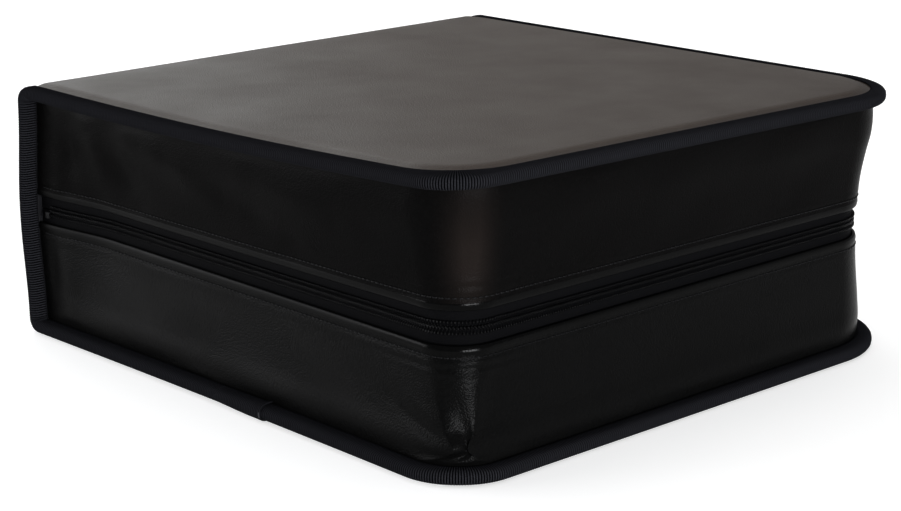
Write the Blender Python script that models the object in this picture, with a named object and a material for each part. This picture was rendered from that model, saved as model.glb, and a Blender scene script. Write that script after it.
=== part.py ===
"""A large zip-round storage case for discs, lying closed on its back cover.

Metres, +Z up. The spine is at -X and the fore-edge at +X. The origin is at the middle of the
case's footprint. Each cover and the spine is a padded skin, a board and a lining, held at the
edge by a folded ribbon. A soft wall stands on each cover, on three sides, and the zipper joins
the two walls half way up.
"""

import math

import bmesh
import bpy
from mathutils import Matrix, Vector

# Driving dimensions of the closed case.
WIDTH = 0.340
LENGTH = 0.329
HEIGHT = 0.134
CORNER_RADIUS = 0.045
SPINE_BOW = 0.0038
FOLD_RADIUS_BACK = 0.008
FOLD_RADIUS_FRONT = 0.009
GAP = 0.0003

# Layers of a cover, from the outside in.
RIBBON = 0.0008
SKIN = 0.0025
WALL = 0.0020
BOARD = 0.0015
LINING = 0.0008

# Ribbon laps, and how far the soft walls stand in from the edge of the covers.
LAP = 0.0082
BACK_WALL_PROFILE = ((0.0, 0.0092), (0.14, 0.0102), (0.33, 0.0114), (0.63, 0.0131), (1.0, 0.0146))
FRONT_WALL_PROFILE = (
    (0.0, 0.0086), (0.12, 0.0086), (0.28, 0.0093), (0.48, 0.0119), (0.68, 0.0137), (0.88, 0.0146),
    (1.0, 0.0147),
)

# Zipper. The tapes show between the walls' lips, and the chain runs down their middle.
TAPE_SHOWS = 0.0080
TAPE_BEHIND_LIP = 0.0060
TAPE = 0.0008
CHAIN_SLOT = 0.0016
CHAIN_WIDTH = 0.0036
CHAIN = 0.0015
STOP_LENGTH = 0.0028
STOP_HEIGHT = 0.0018
ZIP_END_CLEARANCE = 0.0020

# Slider, its bail and its pull.
SLIDER_LENGTH = 0.0120
SLIDER_PLATE = 0.0012
SLIDER_FLANGE = 0.0008
SLIDER_BAR_LENGTH = 0.0040
SLIDER_BAR = 0.0010
SLIDER_CHAIN_GAP = 0.0003
BAIL_LENGTH = 0.0080
BAIL_WIRE = 0.0012
BAIL_WIDTH = 0.0018
EYE_RADIUS = 0.0013
EYE_WALL = 0.0007
EYE_WIDTH = 0.0040
EYE_CLEARANCE = 0.0005
PULL_LENGTH = 0.0300
PULL_WIDTH = 0.0080
PULL = 0.0013

# Disc sleeves, with the room left round them for loaded leaves, and the rails and posts that hold them.
SLEEVES_SIDE_ROOM = 0.0077
SLEEVES_FORE_ROOM = 0.0246
SLEEVES_HEIGHT = 0.0470
SLEEVES_CORNER = 0.006
RAIL_WIDTH = 0.018
RAIL = 0.0020
RAIL_FROM_SPINE = 0.004
POST_RADIUS = 0.0030
POST_HEAD_RADIUS = 0.0055
POST_HEAD = 0.0015
POST_END_MARGIN = 0.024
POST_COUNT = 3

# How finely the round stretches are divided.
CORNER_STEPS = 10
FOLD_STEPS = 3
BOW_STEPS = 10
WALL_STEPS = 9
ROUND_STEPS = 24

# Levels through a cover, measured from its outer face.
SKIN_LOW = RIBBON + GAP
SKIN_HIGH = SKIN_LOW + SKIN
FOOT_LOW = SKIN_HIGH + GAP
FOOT_HIGH = FOOT_LOW + WALL
LAP_LOW = FOOT_HIGH + GAP
FLANGE = LAP_LOW + RIBBON
BOARD_HIGH = FOOT_LOW + BOARD
LINING_LOW = BOARD_HIGH + GAP
LINING_HIGH = LINING_LOW + LINING

# Planes that the rest is placed from.
SPINE_X = -WIDTH / 2 + SPINE_BOW
FORE_X = WIDTH / 2
SIDE_Y = LENGTH / 2
MID_Z = HEIGHT / 2
EDGE_FILLING = RIBBON + GAP
WALL_END_LEVEL = LINING_HIGH + GAP

# Insets of the zipper, measured in from the edge of the covers.
LIP_INSET = max(BACK_WALL_PROFILE[-1][1], FRONT_WALL_PROFILE[-1][1])
TAPE_INSET = LIP_INSET + WALL + GAP
CHAIN_INSET = TAPE_INSET - GAP - CHAIN
SLIDER_INSET = CHAIN_INSET - SLIDER_CHAIN_GAP - SLIDER_PLATE
BAR_AXIS_INSET = SLIDER_INSET - EYE_CLEARANCE - EYE_WALL - EYE_RADIUS
INNER_PLATE_INSET = TAPE_INSET + TAPE + GAP

ZIP_START_X = SPINE_X + WALL_END_LEVEL + ZIP_END_CLEARANCE
CHAIN_START_X = ZIP_START_X + STOP_LENGTH + GAP
SLIDER_X = CHAIN_START_X + GAP

RAIL_LOW_X = SPINE_X + WALL_END_LEVEL + RAIL_FROM_SPINE
SLEEVES_HIGH_X = FORE_X - TAPE_INSET - TAPE - SLEEVES_FORE_ROOM
SLEEVES_HALF = SIDE_Y - TAPE_INSET - TAPE - SLEEVES_SIDE_ROOM
BASE_RAIL_Z = LINING_HIGH + GAP
SLEEVES_Z = BASE_RAIL_Z + RAIL + GAP
CLAMP_RAIL_Z = SLEEVES_Z + SLEEVES_HEIGHT + GAP
POST_TOP_Z = CLAMP_RAIL_Z + RAIL + GAP


def material(name, colour, roughness, metallic=0.0):
    """One Principled material for one kind of stuff."""
    made = bpy.data.materials.new(name)
    made.use_nodes = True
    shader = made.node_tree.nodes["Principled BSDF"]
    shader.inputs["Base Color"].default_value = (*colour, 1.0)
    shader.inputs["Roughness"].default_value = roughness
    shader.inputs["Metallic"].default_value = metallic
    made.diffuse_color = (*colour, 1.0)
    return made


def make_object(name, bm, stuff):
    """Turn a closed bmesh into a named object whose faces point outwards."""
    bmesh.ops.recalc_face_normals(bm, faces=bm.faces)
    if bm.calc_volume(signed=True) < 0:
        bmesh.ops.reverse_faces(bm, faces=bm.faces)
    mesh = bpy.data.meshes.new(name)
    bm.to_mesh(mesh)
    bm.free()
    mesh.materials.append(stuff)
    mesh.shade_smooth()
    mesh.set_sharp_from_angle(angle=math.radians(35))
    made = bpy.data.objects.new(name, mesh)
    bpy.context.scene.collection.objects.link(made)
    return made


def loft(rings):
    """A closed solid through rings that all have the same number of points."""
    bm = bmesh.new()
    loops = [[bm.verts.new(point) for point in ring] for ring in rings]
    for low, high in zip(loops[:-1], loops[1:]):
        for i in range(len(low)):
            j = (i + 1) % len(low)
            bm.faces.new((low[i], low[j], high[j], high[i]))
    bm.faces.new(loops[0])
    bm.faces.new(loops[-1])
    return bm


def side_arc(inset, y_side):
    """Points of one rounded corner of the covers' outline, drawn in by the inset."""
    radius = CORNER_RADIUS - inset
    centre = Vector((FORE_X - CORNER_RADIUS, y_side * (SIDE_Y - CORNER_RADIUS)))
    turns = [math.pi / 2 * i / CORNER_STEPS for i in range(CORNER_STEPS + 1)]
    if y_side < 0:
        turns = [math.pi / 2 - turn for turn in turns]
    return [centre + radius * Vector((math.cos(turn), y_side * math.sin(turn))) for turn in turns]


def outline(inset, x_start):
    """The covers' outline from the spine's one end to its other, drawn in by the inset."""
    start = Vector((x_start, -SIDE_Y + inset))
    end = Vector((x_start, SIDE_Y - inset))
    return [start, *side_arc(inset, -1), *side_arc(inset, 1), end]


def roll(bm, faces, centre, towards, back):
    """Carry a flat end an eighth of a turn round a fold, then draw it back by half a gap."""
    step = Matrix.Rotation(towards * math.pi / 4 / FOLD_STEPS, 3, "Y")
    for _ in range(FOLD_STEPS):
        grown = bmesh.ops.extrude_face_region(bm, geom=faces)["geom"]
        bmesh.ops.delete(bm, geom=[face for face in faces if face.is_valid], context="FACES_ONLY")
        corners = [part for part in grown if isinstance(part, bmesh.types.BMVert)]
        faces = [part for part in grown if isinstance(part, bmesh.types.BMFace)]
        bmesh.ops.rotate(bm, cent=centre, matrix=step, verts=corners)
    bmesh.ops.translate(bm, verts=corners, vec=back.normalized() * GAP / 2)


def flat_end(bm, axis, place):
    """The faces that lie wholly in one plane across an axis."""
    return [
        face for face in bm.faces
        if all(abs(corner.co[axis] - place) < 1e-6 for corner in face.verts)
    ]


def turned_over(bm):
    """Mirror a back-cover shape to the front cover."""
    for corner in bm.verts:
        corner.co.z = HEIGHT - corner.co.z
    return bm


def cover_object(name, bm, stuff, fold_radius, is_front):
    """Roll a cover layer's spine side round the fold, and turn it over for the front."""
    centre = Vector((SPINE_X + fold_radius, 0, fold_radius))
    roll(bm, flat_end(bm, 0, centre.x), centre, 1, Vector((1, 0, -1)))
    return make_object(name, turned_over(bm) if is_front else bm, stuff)


def slab(levels, fold_radius):
    """A cover layer from (inset, level) pairs, ending flat where the fold begins."""
    x_start = SPINE_X + fold_radius
    return loft([[(p.x, p.y, level) for p in outline(inset, x_start)] for inset, level in levels])


def sweep_round(section, start_x):
    """Carry a section of (inset, level) points along the three open sides of a cover.

    start_x gives the x of each section point at the spine.
    """
    ends = [start_x(inset, level) for inset, level in section]
    tracks = [outline(inset, x) for (inset, level), x in zip(section, ends)]
    stations = range(len(tracks[0]))
    return loft([
        [(track[i].x, track[i].y, level) for track, (inset, level) in zip(tracks, section)]
        for i in stations
    ])


def ribbon_section():
    """The folded ribbon in section: two laps joined round the edge, as (inset, level) points."""
    nose = FLANGE / 5
    outer = [(LAP, 0), (nose, 0), (0, nose), (0, FLANGE - nose), (nose, FLANGE), (LAP, FLANGE)]
    inner = [(LAP, LAP_LOW), (RIBBON, LAP_LOW), (RIBBON, RIBBON), (LAP, RIBBON)]
    return outer + inner


def cover(prefix, fold_radius, is_front, stuff):
    """The skin, board, lining and ribbon of one cover."""
    behind_ribbon = LAP + GAP
    skin_levels = (
        (behind_ribbon, 0), (behind_ribbon, SKIN_LOW), (EDGE_FILLING, SKIN_LOW),
        (EDGE_FILLING, SKIN_HIGH),
    )
    profile = FRONT_WALL_PROFILE if is_front else BACK_WALL_PROFILE
    inside_wall = profile[0][1] + WALL + GAP
    board_levels = ((inside_wall, FOOT_LOW), (inside_wall, BOARD_HIGH))
    lining_levels = ((inside_wall, LINING_LOW), (inside_wall, LINING_HIGH))
    for part, levels, slot in (
        ("skin", skin_levels, "leatherette"),
        ("board", board_levels, "board"),
        ("lining", lining_levels, "lining"),
    ):
        cover_object(
            f"{prefix}_{part}", slab(levels, fold_radius), stuff[slot], fold_radius, is_front
        )
    ribbon = sweep_round(ribbon_section(), lambda inset, level: SPINE_X + fold_radius)
    cover_object(f"{prefix}_binding", ribbon, stuff["ribbon"], fold_radius, is_front)


def bow(z):
    """How far the spine stands out past the folds at this height."""
    low = FOLD_RADIUS_BACK
    share = (z - low) / (HEIGHT - FOLD_RADIUS_FRONT - low)
    return SPINE_BOW * math.sin(math.pi * min(max(share, 0), 1)) ** 2


def spine_layer(name, section, stuff):
    """Carry a section of (level, y) points up the spine and round both folds."""
    low, high = FOLD_RADIUS_BACK, HEIGHT - FOLD_RADIUS_FRONT
    heights = [low + (high - low) * i / BOW_STEPS for i in range(BOW_STEPS + 1)]
    bm = loft([[(SPINE_X + level - bow(z), y, z) for level, y in section] for z in heights])
    for place, radius, towards in ((low, FOLD_RADIUS_BACK, -1), (high, FOLD_RADIUS_FRONT, 1)):
        centre = Vector((SPINE_X + radius, 0, place))
        roll(bm, flat_end(bm, 2, place), centre, towards, Vector((-1, 0, -towards)))
    return make_object(name, bm, stuff)


def spine(stuff):
    """The spine's padded skin, board, lining and the ribbon at its two ends."""
    under_lap = SIDE_Y - LAP - GAP
    edge = SIDE_Y - EDGE_FILLING
    skin = [
        (0, -under_lap), (SKIN_LOW, -under_lap), (SKIN_LOW, -edge), (SKIN_HIGH, -edge),
        (SKIN_HIGH, edge), (SKIN_LOW, edge), (SKIN_LOW, under_lap), (0, under_lap),
    ]
    board = [(FOOT_LOW, -edge), (BOARD_HIGH, -edge), (BOARD_HIGH, edge), (FOOT_LOW, edge)]
    lining = [
        (LINING_LOW, -under_lap), (LINING_HIGH, -under_lap), (LINING_HIGH, under_lap),
        (LINING_LOW, under_lap),
    ]
    spine_layer("spine_skin", skin, stuff["leatherette"])
    spine_layer("spine_board", board, stuff["board"])
    spine_layer("spine_lining", lining, stuff["lining"])
    for name, side in (("spine_binding_near", -1), ("spine_binding_far", 1)):
        section = [(level, side * (SIDE_Y - inset)) for inset, level in ribbon_section()]
        spine_layer(name, section, stuff["ribbon"])


def eased(profile, share):
    """The inset of a wall's face at a share of its height, on a smooth curve through its points."""
    slopes = []
    for i in range(len(profile)):
        before, after = profile[max(i - 1, 0)], profile[min(i + 1, len(profile) - 1)]
        slopes.append((after[1] - before[1]) / (after[0] - before[0]))
    i = max(k for k in range(len(profile) - 1) if profile[k][0] <= share)
    (low, inset_low), (high, inset_high) = profile[i], profile[i + 1]
    span = high - low
    t = (share - low) / span
    return (
        inset_low * (1 + 2 * t) * (1 - t) ** 2 + inset_high * t * t * (3 - 2 * t)
        + span * t * (1 - t) * (slopes[i] * (1 - t) - slopes[i + 1] * t)
    )


def wall_section(profile):
    """A soft wall in section: a foot under the ribbon, and a face that draws in to the zipper."""
    foot_to_lip = MID_Z - TAPE_SHOWS - LAP_LOW
    shares = [i / WALL_STEPS for i in range(WALL_STEPS + 1)]
    face = [(eased(profile, share), LAP_LOW + share * foot_to_lip) for share in shares]
    back = [(inset + WALL, level) for inset, level in face]
    foot_outer = [(EDGE_FILLING, FOOT_LOW), (EDGE_FILLING, FOOT_HIGH), (face[0][0], FOOT_HIGH)]
    foot_inner = [(back[0][0], FOOT_LOW)]
    return foot_outer + face + back[::-1] + foot_inner


def wall(name, profile, fold_radius, is_front, stuff):
    """One soft wall round three sides, with its ends against the spine's lining."""

    def start_x(inset, level):
        height = HEIGHT - level if is_front else level
        return SPINE_X + max(WALL_END_LEVEL - bow(height), fold_radius if level < fold_radius else 0)

    bm = sweep_round(wall_section(profile), start_x)
    make_object(name, turned_over(bm) if is_front else bm, stuff["leatherette"])


def band(name, inset, thick, low, high, x_start, is_front, stuff):
    """A flat band that follows the zipper's line round three sides."""
    section = [(inset, low), (inset, high), (inset + thick, high), (inset + thick, low)]
    bm = sweep_round(section, lambda _inset, _level: x_start)
    make_object(name, turned_over(bm) if is_front else bm, stuff)


def block(low, high):
    """A closed box between two corners."""
    corners = ((low[0], low[1]), (high[0], low[1]), (high[0], high[1]), (low[0], high[1]))
    return loft([[(x, y, z) for x, y in corners] for z in (low[2], high[2])])


def zipper(stuff):
    """Tapes, chains and end stops of both halves."""
    tape_low = MID_Z - TAPE_SHOWS - TAPE_BEHIND_LIP
    tape_high = MID_Z - CHAIN_SLOT / 2
    chain_low = tape_high - CHAIN_WIDTH
    tape_x = SPINE_X + WALL_END_LEVEL
    for half, is_front in (("lower", False), ("upper", True)):
        band(f"{half}_zipper_tape", TAPE_INSET, TAPE, tape_low, tape_high, tape_x, is_front, stuff["tape"])
        band(
            f"{half}_zipper_chain", CHAIN_INSET, CHAIN, chain_low, tape_high, CHAIN_START_X, is_front,
            stuff["chain"],
        )
        bm = block(
            (ZIP_START_X, SIDE_Y - TAPE_INSET + GAP, chain_low),
            (ZIP_START_X + STOP_LENGTH, SIDE_Y - TAPE_INSET + GAP + STOP_HEIGHT, tape_high),
        )
        bmesh.ops.bevel(bm, geom=bm.edges, offset=STOP_HEIGHT / 5, segments=1, affect="EDGES")
        make_object(f"{half}_end_stop", turned_over(bm) if is_front else bm, stuff["metal"])
    bm = block(
        (ZIP_START_X, -SIDE_Y + TAPE_INSET - GAP - STOP_HEIGHT, chain_low),
        (ZIP_START_X + STOP_LENGTH, -SIDE_Y + TAPE_INSET - GAP, tape_high),
    )
    bmesh.ops.bevel(bm, geom=bm.edges, offset=STOP_HEIGHT / 5, segments=1, affect="EDGES")
    make_object("zipper_start_stop", bm, stuff["metal"])


def joined(name, pieces, stuff):
    """One solid out of overlapping closed shapes, by Boolean union."""
    first = make_object(name, pieces[0], stuff)
    for number, piece in enumerate(pieces[1:]):
        helper = make_object(f"{name}_helper_{number}", piece, stuff)
        helper.hide_render = True
        helper.display_type = "WIRE"
        union = first.modifiers.new(f"join_{number}", "BOOLEAN")
        union.operation = "UNION"
        union.object = helper
    return first


def slider_block(x_low, x_high, inset_low, inset_high, z_low, z_high):
    """A box given by its insets from the case's hidden long side."""
    return block((x_low, SIDE_Y - inset_high, z_low), (x_high, SIDE_Y - inset_low, z_high))


def slider(stuff):
    """Two plates joined by a bar between the chains, flanges round them, and a bail outside."""
    half = CHAIN_SLOT / 2 + CHAIN_WIDTH + SLIDER_CHAIN_GAP + SLIDER_FLANGE
    x_low, x_high = SLIDER_X, SLIDER_X + SLIDER_LENGTH
    plate_back = SLIDER_INSET + SLIDER_PLATE
    overlap = SLIDER_PLATE / 2
    nose = x_low + SLIDER_BAR_LENGTH
    bar_half = SLIDER_BAR / 2
    middle = (x_low + x_high) / 2
    bail_low, bail_high = middle - BAIL_LENGTH / 2, middle + BAIL_LENGTH / 2
    bail_outer = BAR_AXIS_INSET - BAIL_WIRE / 2
    pieces = [
        slider_block(x_low, x_high, SLIDER_INSET, plate_back, MID_Z - half, MID_Z + half),
        slider_block(
            x_low, x_high, INNER_PLATE_INSET, INNER_PLATE_INSET + SLIDER_PLATE, MID_Z - half, MID_Z + half
        ),
        slider_block(
            x_low, nose, plate_back - overlap, INNER_PLATE_INSET + overlap, MID_Z - bar_half,
            MID_Z + bar_half,
        ),
    ]
    for side in (-1, 1):
        inner, outer = MID_Z + side * (half - SLIDER_FLANGE), MID_Z + side * half
        pieces.append(
            slider_block(
                x_low, x_high, plate_back - overlap, TAPE_INSET - GAP, min(inner, outer), max(inner, outer)
            )
        )
    for low, high in ((bail_low, bail_low + BAIL_WIRE), (bail_high - BAIL_WIRE, bail_high)):
        pieces.append(
            slider_block(
                low, high, bail_outer, SLIDER_INSET + overlap, MID_Z - BAIL_WIDTH / 2, MID_Z + BAIL_WIDTH / 2
            )
        )
    pieces.append(
        slider_block(
            bail_low, bail_high, bail_outer, bail_outer + BAIL_WIRE, MID_Z - BAIL_WIDTH / 2,
            MID_Z + BAIL_WIDTH / 2,
        )
    )
    joined("zipper_slider", pieces, stuff["metal"])


def pull_tab(stuff):
    """A flat pull that hangs from an eye round the slider's bail."""
    middle = SLIDER_X + SLIDER_LENGTH / 2
    axis_y = SIDE_Y - BAR_AXIS_INSET
    eye_outer = EYE_RADIUS + EYE_WALL
    turns = [2 * math.pi * i / ROUND_STEPS for i in range(ROUND_STEPS)]

    def ring(radius, x):
        return [(x, axis_y + radius * math.cos(t), MID_Z + radius * math.sin(t)) for t in turns]

    eye = loft([ring(eye_outer, middle - EYE_WIDTH / 2), ring(eye_outer, middle + EYE_WIDTH / 2)])
    neck_top = MID_Z - (EYE_RADIUS + EYE_WALL / 2)
    blade_top = MID_Z - eye_outer - GAP
    neck = block(
        (middle - EYE_WIDTH / 2, axis_y - PULL / 2, blade_top - PULL),
        (middle + EYE_WIDTH / 2, axis_y + PULL / 2, neck_top),
    )
    blade = block(
        (middle - PULL_WIDTH / 2, axis_y - PULL / 2, MID_Z - PULL_LENGTH),
        (middle + PULL_WIDTH / 2, axis_y + PULL / 2, blade_top),
    )
    upright = [
        edge for edge in blade.edges
        if abs(edge.verts[0].co.y - edge.verts[1].co.y) > PULL / 2
        and edge.verts[0].co.z < MID_Z - PULL_LENGTH / 2
    ]
    bmesh.ops.bevel(blade, geom=upright, offset=PULL_WIDTH / 3, segments=4, affect="EDGES")
    pull = joined("zipper_pull", [eye, neck, blade], stuff["metal"])
    bore = make_object(
        "zipper_pull_bore",
        loft([ring(EYE_RADIUS, middle - EYE_WIDTH), ring(EYE_RADIUS, middle + EYE_WIDTH)]),
        stuff["metal"],
    )
    bore.hide_render = True
    bore.display_type = "WIRE"
    cut = pull.modifiers.new("bore", "BOOLEAN")
    cut.operation = "DIFFERENCE"
    cut.object = bore


def post_places():
    """Centres of the binding posts along the rails."""
    x = RAIL_LOW_X + RAIL_WIDTH / 2
    first = -SLEEVES_HALF + POST_END_MARGIN
    spacing = -2 * first / (POST_COUNT - 1)
    return [(x, first + spacing * i) for i in range(POST_COUNT)]


def disc(radius, centre, low, high):
    """A closed round solid standing on Z."""
    turns = [2 * math.pi * i / ROUND_STEPS for i in range(ROUND_STEPS)]
    return loft([
        [(centre[0] + radius * math.cos(t), centre[1] + radius * math.sin(t), z) for t in turns]
        for z in (low, high)
    ])


def bored(piece, places):
    """Cut the posts' clearance holes through a piece."""
    for number, place in enumerate(places):
        drill = make_object(
            f"{piece.name}_drill_{number}", disc(POST_RADIUS + GAP, place, 0, HEIGHT), piece.data.materials[0]
        )
        drill.hide_render = True
        drill.display_type = "WIRE"
        cut = piece.modifiers.new(f"hole_{number}", "BOOLEAN")
        cut.operation = "DIFFERENCE"
        cut.object = drill


def contents(stuff):
    """The block of sleeves, clamped between two rails by three posts."""
    half = SLEEVES_HALF
    rail_high_x = RAIL_LOW_X + RAIL_WIDTH
    sleeves = block(
        (RAIL_LOW_X, -half, SLEEVES_Z), (SLEEVES_HIGH_X, half, SLEEVES_Z + SLEEVES_HEIGHT)
    )
    fore_corners = [
        edge for edge in sleeves.edges
        if abs(edge.verts[0].co.z - edge.verts[1].co.z) > SLEEVES_HEIGHT / 2
        and edge.verts[0].co.x > 0
    ]
    bmesh.ops.bevel(sleeves, geom=fore_corners, offset=SLEEVES_CORNER, segments=4, affect="EDGES")
    bored(make_object("disc_sleeves", sleeves, stuff["sleeve"]), post_places())
    for name, low in (("binder_base_rail", BASE_RAIL_Z), ("binder_clamp_rail", CLAMP_RAIL_Z)):
        rail = block((RAIL_LOW_X, -half, low), (rail_high_x, half, low + RAIL))
        bored(make_object(name, rail, stuff["rail"]), post_places())
    for number, place in enumerate(post_places(), start=1):
        shank = disc(POST_RADIUS, place, LINING_HIGH + GAP, POST_TOP_Z + POST_HEAD / 2)
        head = disc(POST_HEAD_RADIUS, place, POST_TOP_Z, POST_TOP_Z + POST_HEAD)
        joined(f"binder_post_{number}", [shank, head], stuff["rail"])


def build():
    """Clear the scene and model the whole case."""
    for old in list(bpy.data.objects):
        bpy.data.objects.remove(old, do_unlink=True)
    stuff = {
        "leatherette": material("leatherette", (0.012, 0.011, 0.011), 0.42),
        "ribbon": material("ribbon", (0.020, 0.021, 0.025), 0.65),
        "lining": material("lining", (0.030, 0.030, 0.033), 0.80),
        "board": material("board", (0.28, 0.25, 0.20), 0.90),
        "tape": material("tape", (0.010, 0.010, 0.011), 0.80),
        "chain": material("chain", (0.060, 0.060, 0.062), 0.45),
        "metal": material("metal", (0.030, 0.030, 0.032), 0.35, 0.8),
        "sleeve": material("sleeve", (0.085, 0.085, 0.090), 0.30),
        "rail": material("rail", (0.020, 0.020, 0.021), 0.45),
    }
    cover("back_cover", FOLD_RADIUS_BACK, False, stuff)
    cover("front_cover", FOLD_RADIUS_FRONT, True, stuff)
    spine(stuff)
    wall("lower_wall", BACK_WALL_PROFILE, FOLD_RADIUS_BACK, False, stuff)
    wall("upper_wall", FRONT_WALL_PROFILE, FOLD_RADIUS_FRONT, True, stuff)
    zipper(stuff)
    slider(stuff)
    pull_tab(stuff)
    contents(stuff)


build()
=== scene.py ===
# %% [markdown]
# # A zip-round storage case for discs
# The real case is soft: two padded covers and a spine, bound all round with one ribbed ribbon, and
# two leatherette walls that a zipper joins half way up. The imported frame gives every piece's place.
# This lesson dresses it: each soft piece is cut as a flat sheet and then wrapped to its place, the
# way the sewer does it, because a flat sheet keeps clean rows for ribs, stitches and weave.

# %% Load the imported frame
import math

import bpy
import numpy as np
from mathutils import Matrix, Vector


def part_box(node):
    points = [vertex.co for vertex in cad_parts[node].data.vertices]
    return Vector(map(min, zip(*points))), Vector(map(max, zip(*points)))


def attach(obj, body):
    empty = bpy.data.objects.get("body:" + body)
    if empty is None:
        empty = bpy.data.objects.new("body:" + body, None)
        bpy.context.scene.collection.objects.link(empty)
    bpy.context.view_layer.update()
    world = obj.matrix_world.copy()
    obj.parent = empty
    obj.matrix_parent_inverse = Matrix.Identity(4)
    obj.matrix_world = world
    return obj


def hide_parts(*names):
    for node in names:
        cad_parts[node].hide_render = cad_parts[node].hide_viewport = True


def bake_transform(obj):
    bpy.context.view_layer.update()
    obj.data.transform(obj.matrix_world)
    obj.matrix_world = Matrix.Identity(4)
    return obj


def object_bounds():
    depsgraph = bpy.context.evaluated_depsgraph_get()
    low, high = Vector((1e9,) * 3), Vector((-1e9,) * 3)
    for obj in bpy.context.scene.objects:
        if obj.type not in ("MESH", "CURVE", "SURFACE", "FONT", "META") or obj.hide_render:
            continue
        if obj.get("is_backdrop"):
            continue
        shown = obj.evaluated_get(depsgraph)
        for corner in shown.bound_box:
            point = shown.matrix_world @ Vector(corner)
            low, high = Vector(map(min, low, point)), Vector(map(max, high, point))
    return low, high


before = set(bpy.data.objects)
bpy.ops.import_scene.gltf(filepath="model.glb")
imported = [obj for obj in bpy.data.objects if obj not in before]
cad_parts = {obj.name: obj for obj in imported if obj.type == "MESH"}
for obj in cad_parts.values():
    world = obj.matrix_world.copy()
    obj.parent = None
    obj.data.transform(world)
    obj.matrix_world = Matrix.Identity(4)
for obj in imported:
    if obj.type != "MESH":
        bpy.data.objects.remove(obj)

cad_low, cad_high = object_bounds()
bpy.ops.object.select_all(action="DESELECT")
print("the frame's box:", [round(value, 4) for value in (*cad_low, *cad_high)])

# %% [markdown]
# ## The measures that every soft piece shares
# The outline is a rectangle with two rounded corners at the fore-edge. An inset is measured in
# from that outline, and a level is measured from a cover's outer face towards the middle.

# %% Outline of the case, from the frame
HEIGHT = cad_high.z
SIDE_Y = cad_high.y
FORE_X = cad_high.x
MID_Z = HEIGHT / 2
SPINE_BOW = 0.0038
SPINE_X = cad_low.x + SPINE_BOW
FOLD = {"back": 0.008, "front": 0.009}
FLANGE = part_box("back_cover_lining")[1].z + 0.0005
CORNERS = {"back": (0.0336, 0.0547), "front": (0.0250, 0.0508)}
LAP_CORNERS = {"back": (0.0336, 0.0547), "front": (0.0410, 0.0508)}
CORNERS_AT_ZIPPER = (0.038, 0.0455)
print("spine plane", round(SPINE_X, 4), "bound edge", round(FLANGE, 4))


# %% [markdown]
# ## Sheets and how they are wrapped
# A grid is added flat, and each vertex moves to its place on the case. The grid's own rows and
# columns stay in the UV map, in metres, so that a weave follows the cloth round the corners.

# %% Sheet helpers
def smooth(low, high, value):
    """A soft step from 0 at low to 1 at high."""
    share = np.clip((value - low) / (high - low), 0, 1)
    return share * share * (3 - 2 * share)


def points_of(piece):
    """The vertices of a mesh as an array."""
    found = np.empty(len(piece.data.vertices) * 3)
    piece.data.vertices.foreach_get("co", found)
    return found.reshape(-1, 3)


def set_points(piece, points):
    """Move the vertices of a mesh to the places in an array."""
    piece.data.vertices.foreach_set("co", np.asarray(points, np.float32).ravel())
    piece.data.update()


def select_only(piece):
    """Make one piece the only one selected, and the active one."""
    bpy.ops.object.select_all(action="DESELECT")
    bpy.context.view_layer.objects.active = piece
    piece.select_set(True)


def primitive(add, name, **settings):
    """Add a primitive with nothing else selected, and name it."""
    bpy.ops.object.select_all(action="DESELECT")
    add(**settings)
    piece = bpy.context.active_object
    piece.name = piece.data.name = name
    return piece


def applied(piece, name, kind, **settings):
    """Add a modifier with its settings to a piece and apply it."""
    modifier = piece.modifiers.new(name, kind)
    for setting, value in settings.items():
        setattr(modifier, setting, value)
    select_only(piece)
    bpy.ops.object.modifier_apply(modifier=modifier.name)
    return piece


def in_edit_mode(piece, *steps):
    """Run modelling steps on all of one piece in edit mode."""
    select_only(piece)
    bpy.ops.object.mode_set(mode="EDIT")
    bpy.ops.mesh.select_all(action="SELECT")
    for step in steps:
        step()
    bpy.ops.object.mode_set(mode="OBJECT")


def close_ends():
    """Merge the sheet's meeting edges, fill its open ends and point its faces out."""
    bpy.ops.mesh.remove_doubles(threshold=0.000002)
    bpy.ops.mesh.select_all(action="DESELECT")
    bpy.ops.mesh.select_non_manifold()
    bpy.ops.mesh.edge_face_add()
    bpy.ops.mesh.select_all(action="SELECT")
    bpy.ops.mesh.normals_make_consistent(inside=False)


def wrapped_sheet(name, columns, rows, size, place, closed=True):
    """A flat grid of columns by rows, size long and wide in metres, carried to its place on the case."""
    cells = {"x_subdivisions": columns, "y_subdivisions": rows}
    piece = primitive(bpy.ops.mesh.primitive_grid_add, name, size=1, **cells)
    flat = points_of(piece)
    along = np.clip(flat[:, 0] + 0.5, 0, 1)
    across = np.clip(flat[:, 1] + 0.5, 0, 1)
    uv = piece.data.uv_layers.active.data
    corners = np.empty(len(uv) * 2)
    uv.foreach_get("uv", corners)
    corners = corners.reshape(-1, 2) * size
    uv.foreach_set("uv", corners.astype(np.float32).ravel())
    set_points(piece, place(along, across))
    if closed:
        in_edit_mode(piece, close_ends)
    return piece


def finished(piece, body, materials, replaced=(), angle=50):
    """Shade a piece, give it its materials and let it ride on its body."""
    select_only(piece)
    bpy.ops.object.shade_smooth_by_angle(angle=math.radians(angle))
    piece.data.materials.clear()
    for material in materials:
        piece.data.materials.append(material)
    if body:
        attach(piece, body)
    if replaced:
        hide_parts(*replaced)
    print(piece.name, len(piece.data.polygons), "faces")
    return piece


# %% [markdown]
# ## How the soft case gives way
# The real covers aren't quite flat: the full case holds the top open a little at the fore-edge,
# most at the near corner, the top's near edge hangs a little between its corners, and the bottom
# edge under it lifts off the table. Every wrapped piece passes through this step, so that they
# all give way together.

# %% How the covers give way
TOP_RISE = (0.0075, 0.0022)
TOP_SAG = 0.0028
BOTTOM_LIFT = 0.0009
RISE_FROM_Z, RISE_TO_Z = 0.060, 0.121


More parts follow.
